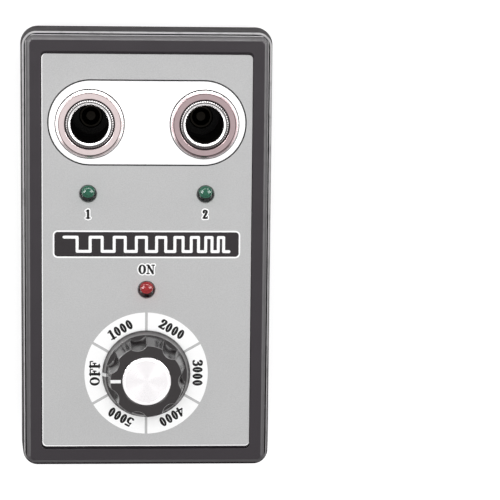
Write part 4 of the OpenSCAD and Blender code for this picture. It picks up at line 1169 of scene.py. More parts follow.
@dataclass
class PanelPrint:
    """The print on the label."""

    lift: float = 0.015  # height of the first layer of ink over the label
    coat: float = 0.012  # thickness of a layer of ink
    field_size: Pair = (56.8, 24.6)  # width and height of the white field round the sockets
    field_y: float = 37.37  # its middle
    field_flat: float = 0.01  # how much less than half its height the radius of its ends is
    field_steps: int = 40  # points on each of its corners
    outline: float = 0.4  # width of its black outline
    nut_lap: float = 0.6  # how far a ring nut covers the field, across
    nut_shadow: float = 0.29  # width of the painted shadow ring round a ring nut
    foot_lap: float = 0.2  # how far that line reaches under the nut
    lamp_shadow: Pair = (2.45, 2.56)  # inner and outer radius of the painted shadow ring round a lamp
    round_steps: int = 160  # points on a round line
    banner: Pair = (53.8, 8.0)  # width and height of the dark banner
    banner_y: float = 2.4  # its middle
    banner_corner: float = 1.4  # its corner radius
    border: float = 0.45  # width of its white border
    pulses: int = 9  # number of pulses on it
    pulse_height: float = 2.05  # half their height
    pulse_width: Pair = (1.5, 0.62)  # shares of width of the first and the last pulse
    pulse_room: float = 6.5  # banner's width less the run of the pulses
    trace: float = 0.42  # half width of the pulses' line
    dial: Pair = (12.6, 17.85)  # inner and outer radius of the dial's fields
    gap: float = 0.75  # space between the dial's fields
    field_grid: tuple[int, int] = (4, 33)  # rows and columns of points on a field
    # The dial's marks and their places in degrees from +X.
    marks: tuple = (("OFF", 180), ("1000", 120), ("2000", 60), ("3000", 0), ("4000", -60), ("5000", -120))
    mark_radius: float = 14.88  # distance of the marks from the dial's middle
    mark_height: float = 2.85  # height of the marks
    number_width: float = 1.22  # width of the numbers as a share of the pen's own
    word_width: float = 1.16  # the same for the word
    bold: float = 0.035  # how much the black marks grow on each side of the pen's strokes
    # Word and numbers beside the lamps, with x, y and height.
    legends: tuple = (("1", -16.8, 11.15, 2.6), ("2", 16.8, 11.15, 2.6), ("ON", 0.0, -4.85, 2.75))
    halo: float = 0.38  # width of the white edge round a legend
    edge_highlight: float = 0.26  # width of the painted highlight along the label's edge
    edge_highlight_lift: float = 0.004  # height of that painted highlight over the label
    hair: float = 0.001  # width that the painted highlight keeps on its other two sides
    corner: float = 1.2  # corner radius of the label
    pen: Pen = field(default_factory=Pen)  # what draws the marks

    def build(self, bench: Bench) -> None:
        """Print the field, the banner, the dial and the legends.

        Args:
            bench: bench that makes the sheets of ink.
        """
        top = Span.of("front_label").hi[2] + self.lift
        over = top + self.coat * 2
        dial = Span.of("pot_bush").spot
        self._plate(bench, top)
        end = self.field_size[1] / 2 - self.field_flat
        edge = (self._frame(self.field_size, self.field_y, end, inset, self.field_steps)
                for inset in (0, self.outline))
        rim, inside = (self._frame(self.banner, self.banner_y, self.banner_corner, inset)
                       for inset in (0, self.border))
        # the black print carries the painted shadow rings round the nuts and lamps
        black = [Form.band(*edge, top), *self._shadow_rings(top)]
        black += [self._mark(text, angle).moved(*dial, over) for text, angle in self.marks]
        # the white print carries the painted highlight along the label's edge
        white = [self._edge_highlight(top), Form.band(rim, inside, top)]
        white += [self._field(angle).moved(*dial, top) for _, angle in self.marks]
        for text, x, y, size in self.legends:
            run = self.pen.line(text, size)
            white.append(Pen.fill(run, top, self.halo).moved(x, y))
            black.append(Pen.fill(run, over, self.bold).moved(x, y))
        trace = Pen.fill(Pen.trail(self._pulse() + [0, self.banner_y], self.trace), over)
        for name, parts, finish in (("print_white_and_painted_highlight", white, INK_WHITE), ("print_black_and_painted_shadow", black, INK_BLACK),
                                    ("print_banner", [Form.sheet(inside, top)], BANNER_BLACK),
                                    ("print_trace", [trace], INK_WHITE)):
            sheet = bench.piece(name, Patch.merged(parts))
            bench.thicken(sheet, self.coat)
            bench.hand_in(sheet, finish, "case")

    @staticmethod
    def _frame(size: Pair, y: float, radius: float, inset: float, steps: int = 12) -> Array:
        """Return a rounded rectangle about (0, y), drawn in by an inset."""
        width, height = (v - 2 * inset for v in size)
        return Form.ring(width, height, radius - inset, steps)[0] + [0, y]

    def _edge_highlight(self, top: float) -> Patch:
        """Shape the painted highlight along the label's edge, which shows at its left and its foot.

        Args:
            top: height of the first layer of ink.

        Returns:
            The flat patch between the label's outline and a smaller one that is set off to its far corner.
        """
        w, h = Span.of("front_label").size[:2]
        outer = Form.ring(w, h, self.corner)[0]
        inner = Form.ring(w - self.edge_highlight, h - self.edge_highlight, self.corner)[0] + self.edge_highlight / 2 - self.hair
        return Form.band(outer, inner, top - self.lift + self.edge_highlight_lift)

    def _plate(self, bench: Bench, top: float) -> None:
        """Print the white field round the sockets, open under the ring nuts.

        Args:
            bench: bench that makes the sheet.
            top: height of the ink.
        """
        w, h = (v - 2 * self.outline for v in self.field_size)
        rows = np.array([[0, top - self.coat], [0, top]])
        sheet = Form.loft(rows, w, h, h / 2 - self.field_flat, self.field_steps).moved(0, self.field_y)
        made = bench.piece("print_field", sheet)
        nuts = [Span.of(f"socket_nut_{side.value}") for side in Side]
        holes = [Form.rod(nut.size[0] - self.nut_lap, top - PAST, top + PAST, count=96).moved(*nut.spot)
                 for nut in nuts]
        bench.cut(made, Patch.merged(holes))
        bench.hand_in(made, INK_WHITE, "case")

    def _shadow_rings(self, top: float) -> list[Patch]:
        """Shape the painted shadow rings at the feet of the ring nuts and round the lamps.

        Args:
            top: height of the first layer of ink.

        Returns:
            One flat ring for each.
        """
        lines = []
        for side in Side:
            nut = Span.of(f"socket_nut_{side.value}")
            pair = (nut.radius + self.nut_shadow, nut.radius - self.foot_lap)
            outer, inner = (Form.circle(r, self.round_steps) + nut.spot for r in pair)
            lines.append(Form.band(outer, inner, top + self.coat))
        for node in LAMPS:
            inner, outer = (Form.circle(r, self.round_steps) + Span.of(node).spot for r in self.lamp_shadow)
            lines.append(Form.band(outer, inner, top))
        return lines

    def _mark(self, text: str, angle: float) -> Patch:
        """Draw one mark of the dial, with its foot towards the dial's middle.

        Args:
            text: word or number.
            angle: its place in degrees from +X.

        Returns:
            The flat patch about the dial's middle.
        """
        run = self.pen.line(text, self.mark_height, self.number_width if text.isdigit() else self.word_width)
        flat = Pen.fill(run, 0.0, self.bold).moved(0, self.mark_radius)
        return flat.turned(Matrix.Rotation(np.radians(angle - 90), 4, "Z"))

    def _field(self, angle: float) -> Patch:
        """Shape the white field of one mark: rings cut by two lines parallel to its radial edges.

        At radius r the field runs half a field's turn to each side, less asin(half gap / r).

        Args:
            angle: its place in degrees from +X.

        Returns:
            The flat patch about the dial's middle.
        """
        rows, cols = self.field_grid
        r = np.linspace(*self.dial, rows)[:, None]
        trim = np.arcsin(self.gap / 2 / r)
        t = np.radians(angle) + np.linspace(-1, 1, cols)[None, :] * (np.pi / len(self.marks) - trim)
        points = np.stack([r * np.cos(t), r * np.sin(t), 0 * t + 0 * r], axis=-1)
        return Patch.grid(points[:, ::-1], wrap=False)

    def _pulse(self) -> Array:
        """Run square pulses that get closer together from left to right.

        Returns:
            Points of the line about the banner's middle.
        """
        share = np.linspace(*self.pulse_width, self.pulses)
        run, half = self.banner[0] - self.pulse_room, self.pulse_height
        ends = np.concatenate([[0], np.cumsum(share)]) / share.sum() * run - run / 2
        mids = (ends[:-1] + ends[1:]) / 2
        x = np.stack([ends[:-1], mids, mids, ends[1:]], axis=-1).reshape(-1)
        return np.column_stack([x, np.tile([half, half, -half, -half], self.pulses)])


@dataclass
class PlugSocket:
    """One plug socket: ring nut and threaded tube."""

    side: Side  # which socket
    tone: Triple  # colour of the nut's plating, carrying painted light and shade for its side
    rim_tone: Triple = (0.86, 0.84, 0.84)  # colour of the tube's plating
    bevel: float = 0.85  # width of the nut's bevel
    seam: float = 0.16  # width of the flat strip inside the bevel, where a line of painted shade lies
    foot: float = 0.15  # width of the chamfer at the nut's foot
    hole: float = 0.25  # width of the chamfer of the nut's hole
    fit: float = 0.05  # space between the nut and the tube
    soft: float = 0.1  # radius of small edges
    bevel_round: float = 0.2  # radius of the bevel's edges
    nut_steps: int = 160  # points round the nut
    # Painted light of the nut's hole, of the line inside its bevel and of the bevel: below 0 painted shade,
    # above 0 painted highlight.
    nut_light_paint: Triple = (-1.0, -0.8, 0.7)
    nut_bands: Pair = (0.2, 0.1)  # width of the painted shade in the hole and half width of the painted shade line
    chamfer: float = 0.6  # width of the tube's serrated chamfer
    chamfer_rows: tuple[float, ...] = (0.14, 0.3, 0.36)  # places of the rows of points on the chamfer
    chamfer_round: Pair = (0.06, 0.1)  # radii of its lower and its upper edge
    teeth: int = 64  # serrations round the tube
    tooth: float = 0.11  # depth of a serration
    tooth_steps: int = 16  # points round a serration
    tooth_root: float = 0.3  # how far the serrations run out below the chamfer
    # How far they run past the chamfer's upper edge, and the length over which they end.
    tooth_end: Pair = (0.05, 0.1)
    lean: float = 4.0  # lean of the serrations in radians of their wave to a mm
    lead: float = 0.45  # width of the rounded edge at the mouth
    lead_round: float = 0.3  # its radius
    # Where the painted shade line past the chamfer ends, and the first row of the bright edge.
    line_rows: Pair = (0.26, 0.32)
    line: Pair = (0.1, 0.18)  # middle of the painted shade line past the chamfer, and its half width
    line_skin: float = 0.1  # depth of the painted shade line
    line_shade: float = -0.9  # painted shade of that line
    pale: Pair = (0.1, 0.45)  # insets of the chamfer's zone of lighter painted shade
    pale_shade: float = 0.6  # share of the serrations' painted shade that this zone keeps
    # Painted shade on a serration's crest, and the depth that adds a full step.
    tooth_shade: Pair = (0.85, 0.2)
    bore: float = 12.4  # inner diameter of the tube
    mouth: float = 10.9  # diameter at the tube's inner lip
    throat_round: float = 0.05  # radius of the lip's lower edge

    def build(self, bench: Bench) -> None:
        """Make the nut and the tube and dress the parts inside.

        Args:
            bench: bench that makes the pieces.
        """
        name = self.side.value
        nut, tube = Span.of(f"socket_nut_{name}"), Span.of(f"socket_tube_{name}")
        plated = nickel(f"nickel_nut_painted_light_{name}", nut.spot, self.tone)
        rim = nickel(f"nickel_rim_{name}", nut.spot, self.rim_tone)
        self._ring(bench, plated, nut, tube.radius + self.fit)
        self._mouth(bench, rim, tube, nut.spot)
        for finish, node in ((INSULATOR, "socket_sleeve"), (plated, "socket_back_nut"), (BRASS, "hv_terminal"),
                             (CONTACT_SHADE, "hv_plunger"), (WIRE_RED, "hv_lead")):
            bench.dress(finish, f"{node}_{name}")

    def _ring(self, bench: Bench, finish: Finish, nut: Span, inner: float) -> None:
        """Ring nut: an outline of radius and height turned about its axis; painted shade in its hole, painted
        highlight on its bevel.

        Args:
            bench: bench that makes the piece.
            finish: its plating.
            nut: box of the nut.
            inner: radius of its hole.
        """
        r, low, high = nut.radius, nut.lo[2], nut.hi[2]
        face = r - self.bevel
        outline = Form.fillet([
            (inner, low, 0), (r - self.foot, low, 0), (r, low + self.foot, self.soft),
            (r, high - self.bevel, self.bevel_round), (face, high, self.bevel_round),
            (face - self.seam, high, 0), (inner + self.hole + self.soft, high, 0),
            (inner + self.hole, high, self.soft), (inner, high - self.hole, self.soft), (inner, low, 0)])
        name = self.side.value
        ring = bench.piece(f"socket_ring_{name}", Form.lathe(outline[:-1], self.nut_steps).moved(*nut.spot))
        p = bench.points(ring) - [*nut.spot, 0]
        reach = np.hypot(p[:, 0], p[:, 1])
        (hole, seam, bevel), (near, half) = self.nut_light_paint, self.nut_bands
        # painted shade in the hole and on the line inside the bevel, painted highlight on the bevel
        bench.painted_light(ring, np.select([reach < inner + near, np.abs(reach - face) < half, reach > face],
                                  [hole, seam, bevel], 0.0))
        bench.even(ring)
        bench.hand_in(ring, finish, "case", (f"socket_nut_{name}",))

    def _mouth(self, bench: Bench, finish: Finish, tube: Span, axis: Array) -> None:
        """Tube: an outline turned about its axis, with a wave of the angle cut into its chamfer and painted
        shade on it.

        Args:
            bench: bench that makes the piece.
            finish: its plating.
            tube: box of the tube.
            axis: x and y of its axis.
        """
        name = self.side.value
        r, low, high = tube.radius, tube.lo[2], tube.hi[2]
        throat = Span.of(f"socket_sleeve_{name}").hi[2]
        bore, lip, slope, crest = self.bore / 2, self.mouth / 2, high - self.chamfer, r - self.chamfer
        outline = Form.fillet([
            (bore, low, 0), (r, low, 0), (r, slope, self.chamfer_round[0]),
            *((r - k, slope + k, 0) for k in self.chamfer_rows), (crest, high, self.chamfer_round[1]),
            *((crest - k, high, 0) for k in self.line_rows), (lip + self.lead, high, self.lead_round),
            (lip, high - self.lead, self.lead_round), (lip, throat, self.throat_round), (bore, throat, 0),
            (bore, low, 0)], steps=7)
        body = Form.lathe(outline[:-1], self.tooth_steps * self.teeth)
        p = body.points
        reach, turn = np.hypot(p[:, 0], p[:, 1]), np.arctan2(p[:, 1], p[:, 0])
        past, run = self.tooth_end
        rise = Form.ramp(p[:, 2], slope - self.tooth_root, self.tooth_root)
        share = rise * Form.ramp(reach, crest - past, run)
        bite = self.tooth * share * (0.5 + 0.5 * np.cos(self.teeth * turn + self.lean * (p[:, 2] - high)))
        p = p * np.stack([1 - bite / reach, 1 - bite / reach, np.ones_like(reach)], axis=-1)
        mouth = bench.piece(f"socket_mouth_{name}", Patch(p, body.faces).moved(*axis))
        # painted shade on the serrations, darker in their grooves and lighter in a zone of the chamfer, and on
        # a line past it
        pale = (reach > r - self.pale[1]) & (reach < r - self.pale[0])
        line = (np.abs(reach - crest + self.line[0]) < self.line[1]) & (p[:, 2] > high - self.line_skin)
        dark = np.where(pale, self.pale_shade, np.clip(self.tooth_shade[0] + bite / self.tooth_shade[1], 0, 1))
        bench.painted_light(mouth, np.where(line, self.line_shade, -share * dark))
        bench.hand_in(mouth, finish, "case", (f"socket_tube_{name}",))


@dataclass
class ContactSpring:
    """Spring under a socket's contact, pressed as the contact goes in."""

    side: Side  # which socket
    wire: float = 0.5  # diameter of the wire
    turns: int = 4  # number of turns
    travel: float = 3.5  # how far the contact goes in
    steps: tuple[int, int] = (32, 12)  # points along a turn and points round the wire

    def build(self, bench: Bench) -> None:
        """Make the spring, a wire round a helix.

        At angle a the wire's middle lies at (R cos a, R sin a, a times the rise); a point of its section
        lies w cos b further out and w sin b higher.

        Args:
            bench: bench that makes the piece.
        """
        node = f"hv_spring_{self.side.value}"
        box = Span.of(node)
        (x, y), lo, long, w = box.spot, box.lo, box.size[2], self.wire / 2
        share = np.linspace(0, 1, self.turns * self.steps[0] + 1)[:, None]
        a, b = TURN * self.turns * share, -np.arange(self.steps[1])[None, :] * TURN / self.steps[1]
        reach = box.radius - w + w * np.cos(b)
        z = lo[2] + w + (long - self.wire) * share + w * np.sin(b)
        coil = Patch.grid(np.stack([reach * np.cos(a), reach * np.sin(a), z], axis=-1)).capped(self.steps[1])
        spring = bench.piece(f"contact_spring_{self.side.value}", coil.moved(x, y))
        bench.hand_in(spring, SPRING, "case", (node,))
        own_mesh(spring)


@dataclass
class Lamp:
    """One lamp: a clear coloured lens over a bright cup that stands on one of its pins."""

    node: str  # the frame's node
    slot: str  # its material slot
    finish: Finish  # resin of the lens
    lens: float = 2.5  # radius of the lens
    dome_steps: int = 17  # points up the dome
    flange: float = 1.0  # height of the flange at the foot
    cup_top: float = 2.5  # depth of the cup's rim below the top of the lens
    cup: float = 1.45  # radius of the cup's rim
    cup_foot: float = 0.4  # height of the cup's foot over the lamp's
    cup_flare: float = 0.35  # how far the rim stands out from the cup's stem
    # Depths of the stem's top, of the rim's lower edge and of the cup's floor below its rim.
    cup_drop: Triple = (1.2, 0.3, 0.6)
    cup_wall: Pair = (0.15, 0.2)  # thickness of the cup at its rim and at its floor
    aside: float = 0.66  # how far the cup stands from the lamp's middle

    def build(self, bench: Bench) -> None:
        """Make the lens, a dome of (r cos t, r sin t) over a stem, and the cup in it, both turned about Z.

        Args:
            bench: bench that makes the pieces.
        """
        box = Span.of(self.node)
        (x, y), foot, r = box.spot, box.radius, self.lens
        low, high = box.lo[2], box.hi[2]
        t = np.linspace(0, np.pi / 2, self.dome_steps)
        dome = np.column_stack([r * np.cos(t), high - r + r * np.sin(t)])
        stem = np.array([[0, low], [foot, low], [foot, low + self.flange], [r, low + self.flange]])
        clear = Form.lathe(np.concatenate([stem, dome]), count=72)
        lens = bench.piece(f"{self.node}_lens", clear.moved(x, y))
        bench.hand_in(lens, self.finish, "case", (self.node,))
        top, base, wall = high - self.cup_top, low + self.cup_foot, self.cup - self.cup_flare
        neck, edge, floor = (top - drop for drop in self.cup_drop)
        cup = Form.lathe(np.array([
            [0, base], [wall, base], [wall, neck], [self.cup, edge], [self.cup, top],
            [self.cup - self.cup_wall[0], top], [wall - self.cup_wall[1], floor], [0, floor]]), count=48)
        bright = bench.piece(f"{self.node}_cup", cup.moved(x, y + self.aside))
        bench.hand_in(bright, CUP_SILVER, "case")


@dataclass(frozen=True)
class KnobLightPaint:
    """Painted highlights on the edges of the knob."""

    slope: float = 0.35  # strength of the painted highlight on the skirt's slope
    # How far its painted highlight starts over the rim's edge, ends over the slope's top and reaches inwards.
    slope_skin: Triple = (0.05, 0.03, 0.1)
    brim: float = 0.32  # strength of the painted highlight on the grip's top edge
    # Share of the edge's radius that carries the painted highlight, and depth of the face that doesn't.
    brim_skin: Pair = (0.75, 0.01)
    brim_in: float = 0.6  # how far from the pocket the top edge begins
    ridge: float = 0.22  # strength of the painted highlight on the flutes' edges
    ridge_foot: float = 0.2  # height over the skirt at which they begin
    ridge_half: float = 0.012  # half width of a flute's painted highlight in radians


@dataclass
class SpeedKnob:
    """Fluted knob with a spun cap and a pointer line."""

    count: int = 504  # points round the knob
    crease: float = 40.0  # smooth shading limit of its body in degrees
    skirt_top: float = 11.85  # radius at the top of the skirt's slope
    skirt_rim: float = 0.7  # height of the skirt's upright edge
    skirt: float = 2.2  # height of the skirt
    skirt_rounds: Triple = (0.15, 0.12, 0.2)  # radii at the skirt's lower, middle and upper edge
    # How far the skirt's top reaches under the grip, and how far it rises there.
    skirt_in: Pair = (1.4, 0.02)
    grip: Pair = (11.5, 10.35)  # radius of the grip at its foot and at its top
    grip_low: float = 0.02  # how far the grip's top lies below the pointer
    edge: float = 0.26  # radius of the grip's top edge
    edge_steps: int = 8  # points on that edge
    root: Pair = (0.3, 0.6)  # radius of the grip's foot, and share of it that shows
    root_in: float = 0.05  # how far the foot stays inside the top of the skirt's slope
    root_rows: tuple[float, ...] = (0.0, 0.06, 0.16, 0.3)  # heights of the rows of points on it
    # Height of the first row of points above the root, and number of rows up the side.
    side_rows: tuple[float, int] = (0.6, 14)
    flutes: int = 7  # number of flutes
    flute: float = 3.3  # radius of a flute
    bite: float = 1.25  # depth of a flute
    blend: float = 0.12  # length over which a flute's edge is blended
    pocket: float = 7.05  # radius of the cap's pocket
    pocket_floor: float = 52.75  # height of its floor
    pocket_edge: Pair = (0.35, 0.15)  # width of the strip round the pocket, and radius of its edge
    face_rows: Pair = (0.35, 0.7)  # places of the rows between the grip's edge and that strip
    hub: float = 2.0  # radius of the pocket's last row
    room: Pair = (7.0, 3.6)  # radius and height of the room under the knob
    room_rounds: Pair = (0.3, 0.2)  # radii of its upper and its lower edge
    screw_room: float = 0.1  # space round the set screw
    screw_run: float = 20.0  # length of the hole for it
    cap_lift: float = 0.02  # space under the cap
    cap_rounds: Pair = (0.05, 0.22)  # radii of the cap's lower and upper edge
    # Insets of the fine line's outer edge, bottom and inner edge on the cap.
    cap_line: Triple = (0.6, 0.72, 0.84)
    cap_line_deep: float = 0.1  # depth of that line
    cap_line_rounds: Pair = (0.1, 0.04)  # radii of its edges and of its bottom
    line: float = 0.95  # width of the pointer's line
    line_ends: Pair = (0.1, 0.3)  # distances of the line's ends from the grip's edge and from the pocket
    line_depth: float = 0.3  # thickness of the line
    # Distances of the skirt mark's outer end from the rim and from the slope's foot.
    mark_low: Pair = (0.03, 0.17)
    mark_bend: Pair = (0.04, 0.05)  # the same for its bend, from the slope's top
    mark_top: Pair = (0.5, 0.02)  # the same for its inner end
    light_paint: KnobLightPaint = KnobLightPaint()  # painted highlights on the edges

    def build(self, bench: Bench) -> None:
        """Make the body, the cap and the pointer and dress the parts inside.

        Args:
            bench: bench that makes the pieces.
        """
        self._body(bench)
        self._cap(bench)
        self._pointer(bench)
        bench.dress(BRASS, "knob_insert")
        bench.dress(STEEL, "knob_set_screw")
        bench.dress(CAN, "pot_shaft")

    def _cone(self, z: Array, low: float, high: float) -> tuple[Array, Array]:
        """Return the grip's radius without flutes and the distance of the flutes' axes, at a height."""
        cone = self.grip[0] + (self.grip[1] - self.grip[0]) * (z - low) / (high - low)
        return cone, cone + self.flute - self.bite

    def _off(self, angle: Array) -> Array:
        """Return the angle from the nearest flute's own spoke."""
        step = TURN / self.flutes
        return (angle + step / 2) % step - step / 2

    def _reach(self, angle: Array, z: Array, low: float, high: float) -> Array:
        """Work out the radius of the grip's side.

        The grip is a cone; each flute is a leaning cylinder of radius f whose axis stands outside it, so
        along the flute's own spoke the side lies at c cos a - sqrt(f^2 - c^2 sin^2 a), with c the axis's
        distance and a the angle from the spoke. The smaller of both is taken, softly.

        Args:
            angle: angles about the knob's axis.
            z: heights.
            low: height of the grip's foot.
            high: height of its top.

        Returns:
            Radius for each angle and height.
        """
        cone, centre = self._cone(z, low, high)
        off = self._off(angle)
        under = self.flute**2 - (centre * np.sin(off)) ** 2
        scoop = np.where(under > 0, centre * np.cos(off) - np.sqrt(np.maximum(under, 0)), cone + self.flute)
        return Form.soft_min(cone + 0 * off, scoop, self.blend)

    def _ridge(self, angle: Array, z: Array, low: float, high: float) -> Array:
        """Tell which points lie on the edges of the flutes.

        A flute of radius f about an axis at distance c cuts a cone of radius r at the angle whose cosine is
        (r^2 + c^2 - f^2) / (2 r c) from the flute's own spoke.

        Args:
            angle: angles about the knob's axis.
            z: heights.
            low: height of the grip's foot.
            high: height of its top.

        Returns:
            True for each point that is near enough to such an angle.
        """
        cone, centre = self._cone(z, low, high)
        edge = np.arccos((cone**2 + centre**2 - self.flute**2) / (2 * cone * centre))
        return np.abs(np.abs(self._off(angle)) - edge) < self.light_paint.ridge_half

    def _rows(self, angle: Array, rim: float, low: float, high: float) -> tuple[Array, Array]:
        """Work out the body's rows from the room below, round the skirt, up the flutes, to the pocket.

        Up the side the radius is the grip's, swelling out at the root by the rise of a quarter circle; over
        the edge it follows a quarter circle inwards; on the face it runs evenly to the pocket.

        Args:
            angle: angles about the knob's axis.
            rim: radius of the skirt.
            low: height of the knob's foot.
            high: height of its top.

        Returns:
            Radius and height for each row and angle.
        """
        foot, (inner, roof) = low + self.skirt, self.room
        below = Form.fillet([
            (0.0, low + roof, 0), (inner, low + roof, self.room_rounds[0]), (inner, low, self.room_rounds[1]),
            (rim, low, self.skirt_rounds[0]), (rim, low + self.skirt_rim, self.skirt_rounds[1]),
            (self.skirt_top, foot, self.skirt_rounds[2]),
            (self.grip[0] - self.skirt_in[0], foot + self.skirt_in[1], 0)])[1:-1]
        start, rows = self.side_rows
        lift = np.concatenate([self.root_rows, np.linspace(start, high - foot - self.edge, rows)])[:, None]
        root, shown = self.root
        swell = root - np.sqrt(np.maximum(root**2 - (root - np.minimum(lift, root)) ** 2, 0.0))
        side = self._reach(angle, foot + lift, foot, high) + shown * swell
        turn = np.linspace(0, np.pi / 2, self.edge_steps)[1:, None]
        crown = self._reach(angle, high - self.edge, foot, high)
        strip, bend = self.pocket + self.pocket_edge[0], self.pocket_edge[1]
        inset = crown - self.edge
        share = np.array(self.face_rows)[:, None]
        sunk = Form.fillet([(strip, high, 0), (self.pocket, high, bend), (self.pocket, self.pocket_floor, 0),
                            (self.hub, self.pocket_floor, 0)], steps=5)
        even = np.ones((1, len(angle)))
        r = [below[:, :1] * even, np.minimum(side, self.skirt_top - self.root_in),
             crown - self.edge * (1 - np.cos(turn)), inset + (strip - inset) * share, sunk[:, :1] * even]
        over = high - self.edge + self.edge * np.sin(turn)
        z = [below[:, 1:], foot + lift, over, high + 0 * share, sunk[:, 1:]]
        return np.concatenate(r), np.concatenate(z) * even

    def _body(self, bench: Bench) -> None:
        """Knob body: its rows at (r cos t, r sin t, z), with a hole for the set screw.

        Args:
            bench: bench that makes the piece.
        """
        box, screw = Span.of("knob_body"), Span.of("knob_set_screw")
        low, high = box.lo[2], box.hi[2] - self.grip_low
        angle = np.arange(self.count) * TURN / self.count
        r, z = self._rows(angle, box.radius, low, high)
        grid = Patch.grid(np.stack([r * np.cos(angle), r * np.sin(angle), z], axis=-1))
        body = Form.poled(grid, self.count, low + self.room[1], self.pocket_floor)
        knob = bench.piece("knob_grip", body.moved(*box.spot), self.crease)
        hole = Form.rod(screw.size[2] + self.screw_room, 0, self.screw_run, count=40)
        hole = hole.turned(Matrix.Rotation(np.pi / 2, 4, "Y")).moved(screw.lo[0], screw.mid[1], screw.mid[2])
        bench.cut(knob, hole, angle=self.crease)
        # painted highlights on the slope, the top edge and the flutes' edges
        bench.painted_light(knob, self._knob_light_paint(bench.points(knob) - [*box.spot, 0], low, high))
        bench.even(knob)
        bench.hand_in(knob, KNOB_BLACK, "knob", ("knob_body",))

    def _knob_light_paint(self, p: Array, low: float, high: float) -> Array:
        """Painted highlights on the body: on the skirt's slope, the top edge and the edges of the flutes.

        Args:
            p: the body's vertices about its axis.
            low: height of the knob's foot.
            high: height of its top.

        Returns:
            Painted highlight of each vertex.
        """
        light_paint, foot, z = self.light_paint, low + self.skirt, p[:, 2]
        reach, angle = np.hypot(p[:, 0], p[:, 1]), np.arctan2(p[:, 1], p[:, 0])
        start, end, inwards = light_paint.slope_skin
        slope = (z > low + self.skirt_rim + start) & (z < foot + end) & (reach > self.skirt_top - inwards)
        part, bare = light_paint.brim_skin
        brim = (z > high - part * self.edge) & (z < high - bare) & (reach > self.pocket + light_paint.brim_in)
        ridge = self._ridge(angle, z, foot, high) & (z > foot + light_paint.ridge_foot) & (z < high - self.edge)
        return np.select([slope, brim, ridge], [light_paint.slope, light_paint.brim, light_paint.ridge], 0.0)

    def _cap(self, bench: Bench) -> None:
        """Spun disc with a rolled edge and a fine line inside it, an outline turned about Z.

        Args:
            bench: bench that makes the piece.
        """
        box = Span.of("knob_cap")
        r, low, top = box.radius, box.lo[2] + self.cap_lift, box.hi[2]
        (under, over), (outer, deep, inner), (lip, bed) = self.cap_rounds, self.cap_line, self.cap_line_rounds
        outline = Form.fillet([
            (0, low, 0), (r, low, under), (r, top, over), (r - outer, top, lip),
            (r - deep, top - self.cap_line_deep, bed), (r - inner, top, lip), (0, top, 0)])
        cap = bench.piece("knob_disc", Form.lathe(outline, count=144).moved(*box.spot))
        bench.even(cap)
        spun = Finish("spun_cap", METAL, (0.94, 0.92, 0.93), (0.9, 0.87, 0.885), 0.25, 0.3, depth=0.0008,
                      pitch=0.16, axis=tuple(box.spot), drawn=0.8)
        bench.hand_in(cap, spun, "knob", ("knob_cap",))

    def _pointer(self, bench: Bench) -> None:
        """White line on the top, from the cap to the edge, and its short mark down the skirt's slope.

        Args:
            bench: bench that makes the piece.
        """
        box, body = Span.of("knob_pointer"), Span.of("knob_body")
        low = body.lo[2] + self.skirt_rim + self.mark_low[1]
        bend = body.lo[2] + self.skirt + self.mark_bend[1]
        (outer, inner), top = self.line_ends, box.hi[2]
        along = np.array([[-self.grip[1] + outer, top], [-self.pocket - inner, top]])
        mark = np.array([[-body.radius + self.mark_low[0], low], [-self.skirt_top - self.mark_bend[0], bend],
                         [-self.skirt_top + self.mark_top[0], bend + self.mark_top[1]]])
        across = np.array([self.line / 2, -self.line / 2])
        strips = []
        for run in (along, mark):
            x, z = np.repeat(run, 2, axis=0).T
            points = np.stack([x, np.tile(across, len(run)), z], axis=-1)
            strips.append(Patch.grid(points.reshape(-1, 2, 3), wrap=False))
        line = bench.piece("knob_line", Patch.merged(strips).moved(0, box.mid[1]))
        bench.thicken(line, self.line_depth)
        bench.hand_in(line, PAINT_WHITE, "knob", ("knob_pointer",))


@dataclass
class Inside:
    """Parts of the frame that keep their own meshes and get a finish."""

    dressed: tuple = (  # each finish and the nodes that get it
        (LABEL_GREY, ("front_label",)),
        (STEEL, ("cover_screws", "board_screws", "coil_screws", "pot_washer", "pot_nut")),
        (BRASS, ("earth_link", "pot_bush")),
        (TIN, ("led_leads", "pot_terminals", "dc_jack_lugs")),
        (NYLON, ("led_spacers",)),
        (BOARD, ("control_board",)),
        (CAN, ("pot_can", "dc_jack_nut", "dc_jack_pin")),
        (CHIP, ("timer_chip", "mosfet")),
        (SLEEVE, ("capacitor",)),
        (SINK, ("heat_sink",)),
        (LACQUER, ("resistors",)),
        (IRON, ("coil_core",)),
        (POTTING, ("coil_winding",)),
        (WIRE_RED, ("supply_leads",)),
        (WIRE_BLACK, ("earth_lead",)),
        (JACK_BLACK, ("dc_jack_body",)))

    def build(self, bench: Bench) -> None:
        """Give each part its finish."""
        for finish, nodes in self.dressed:
            bench.dress(finish, *nodes)


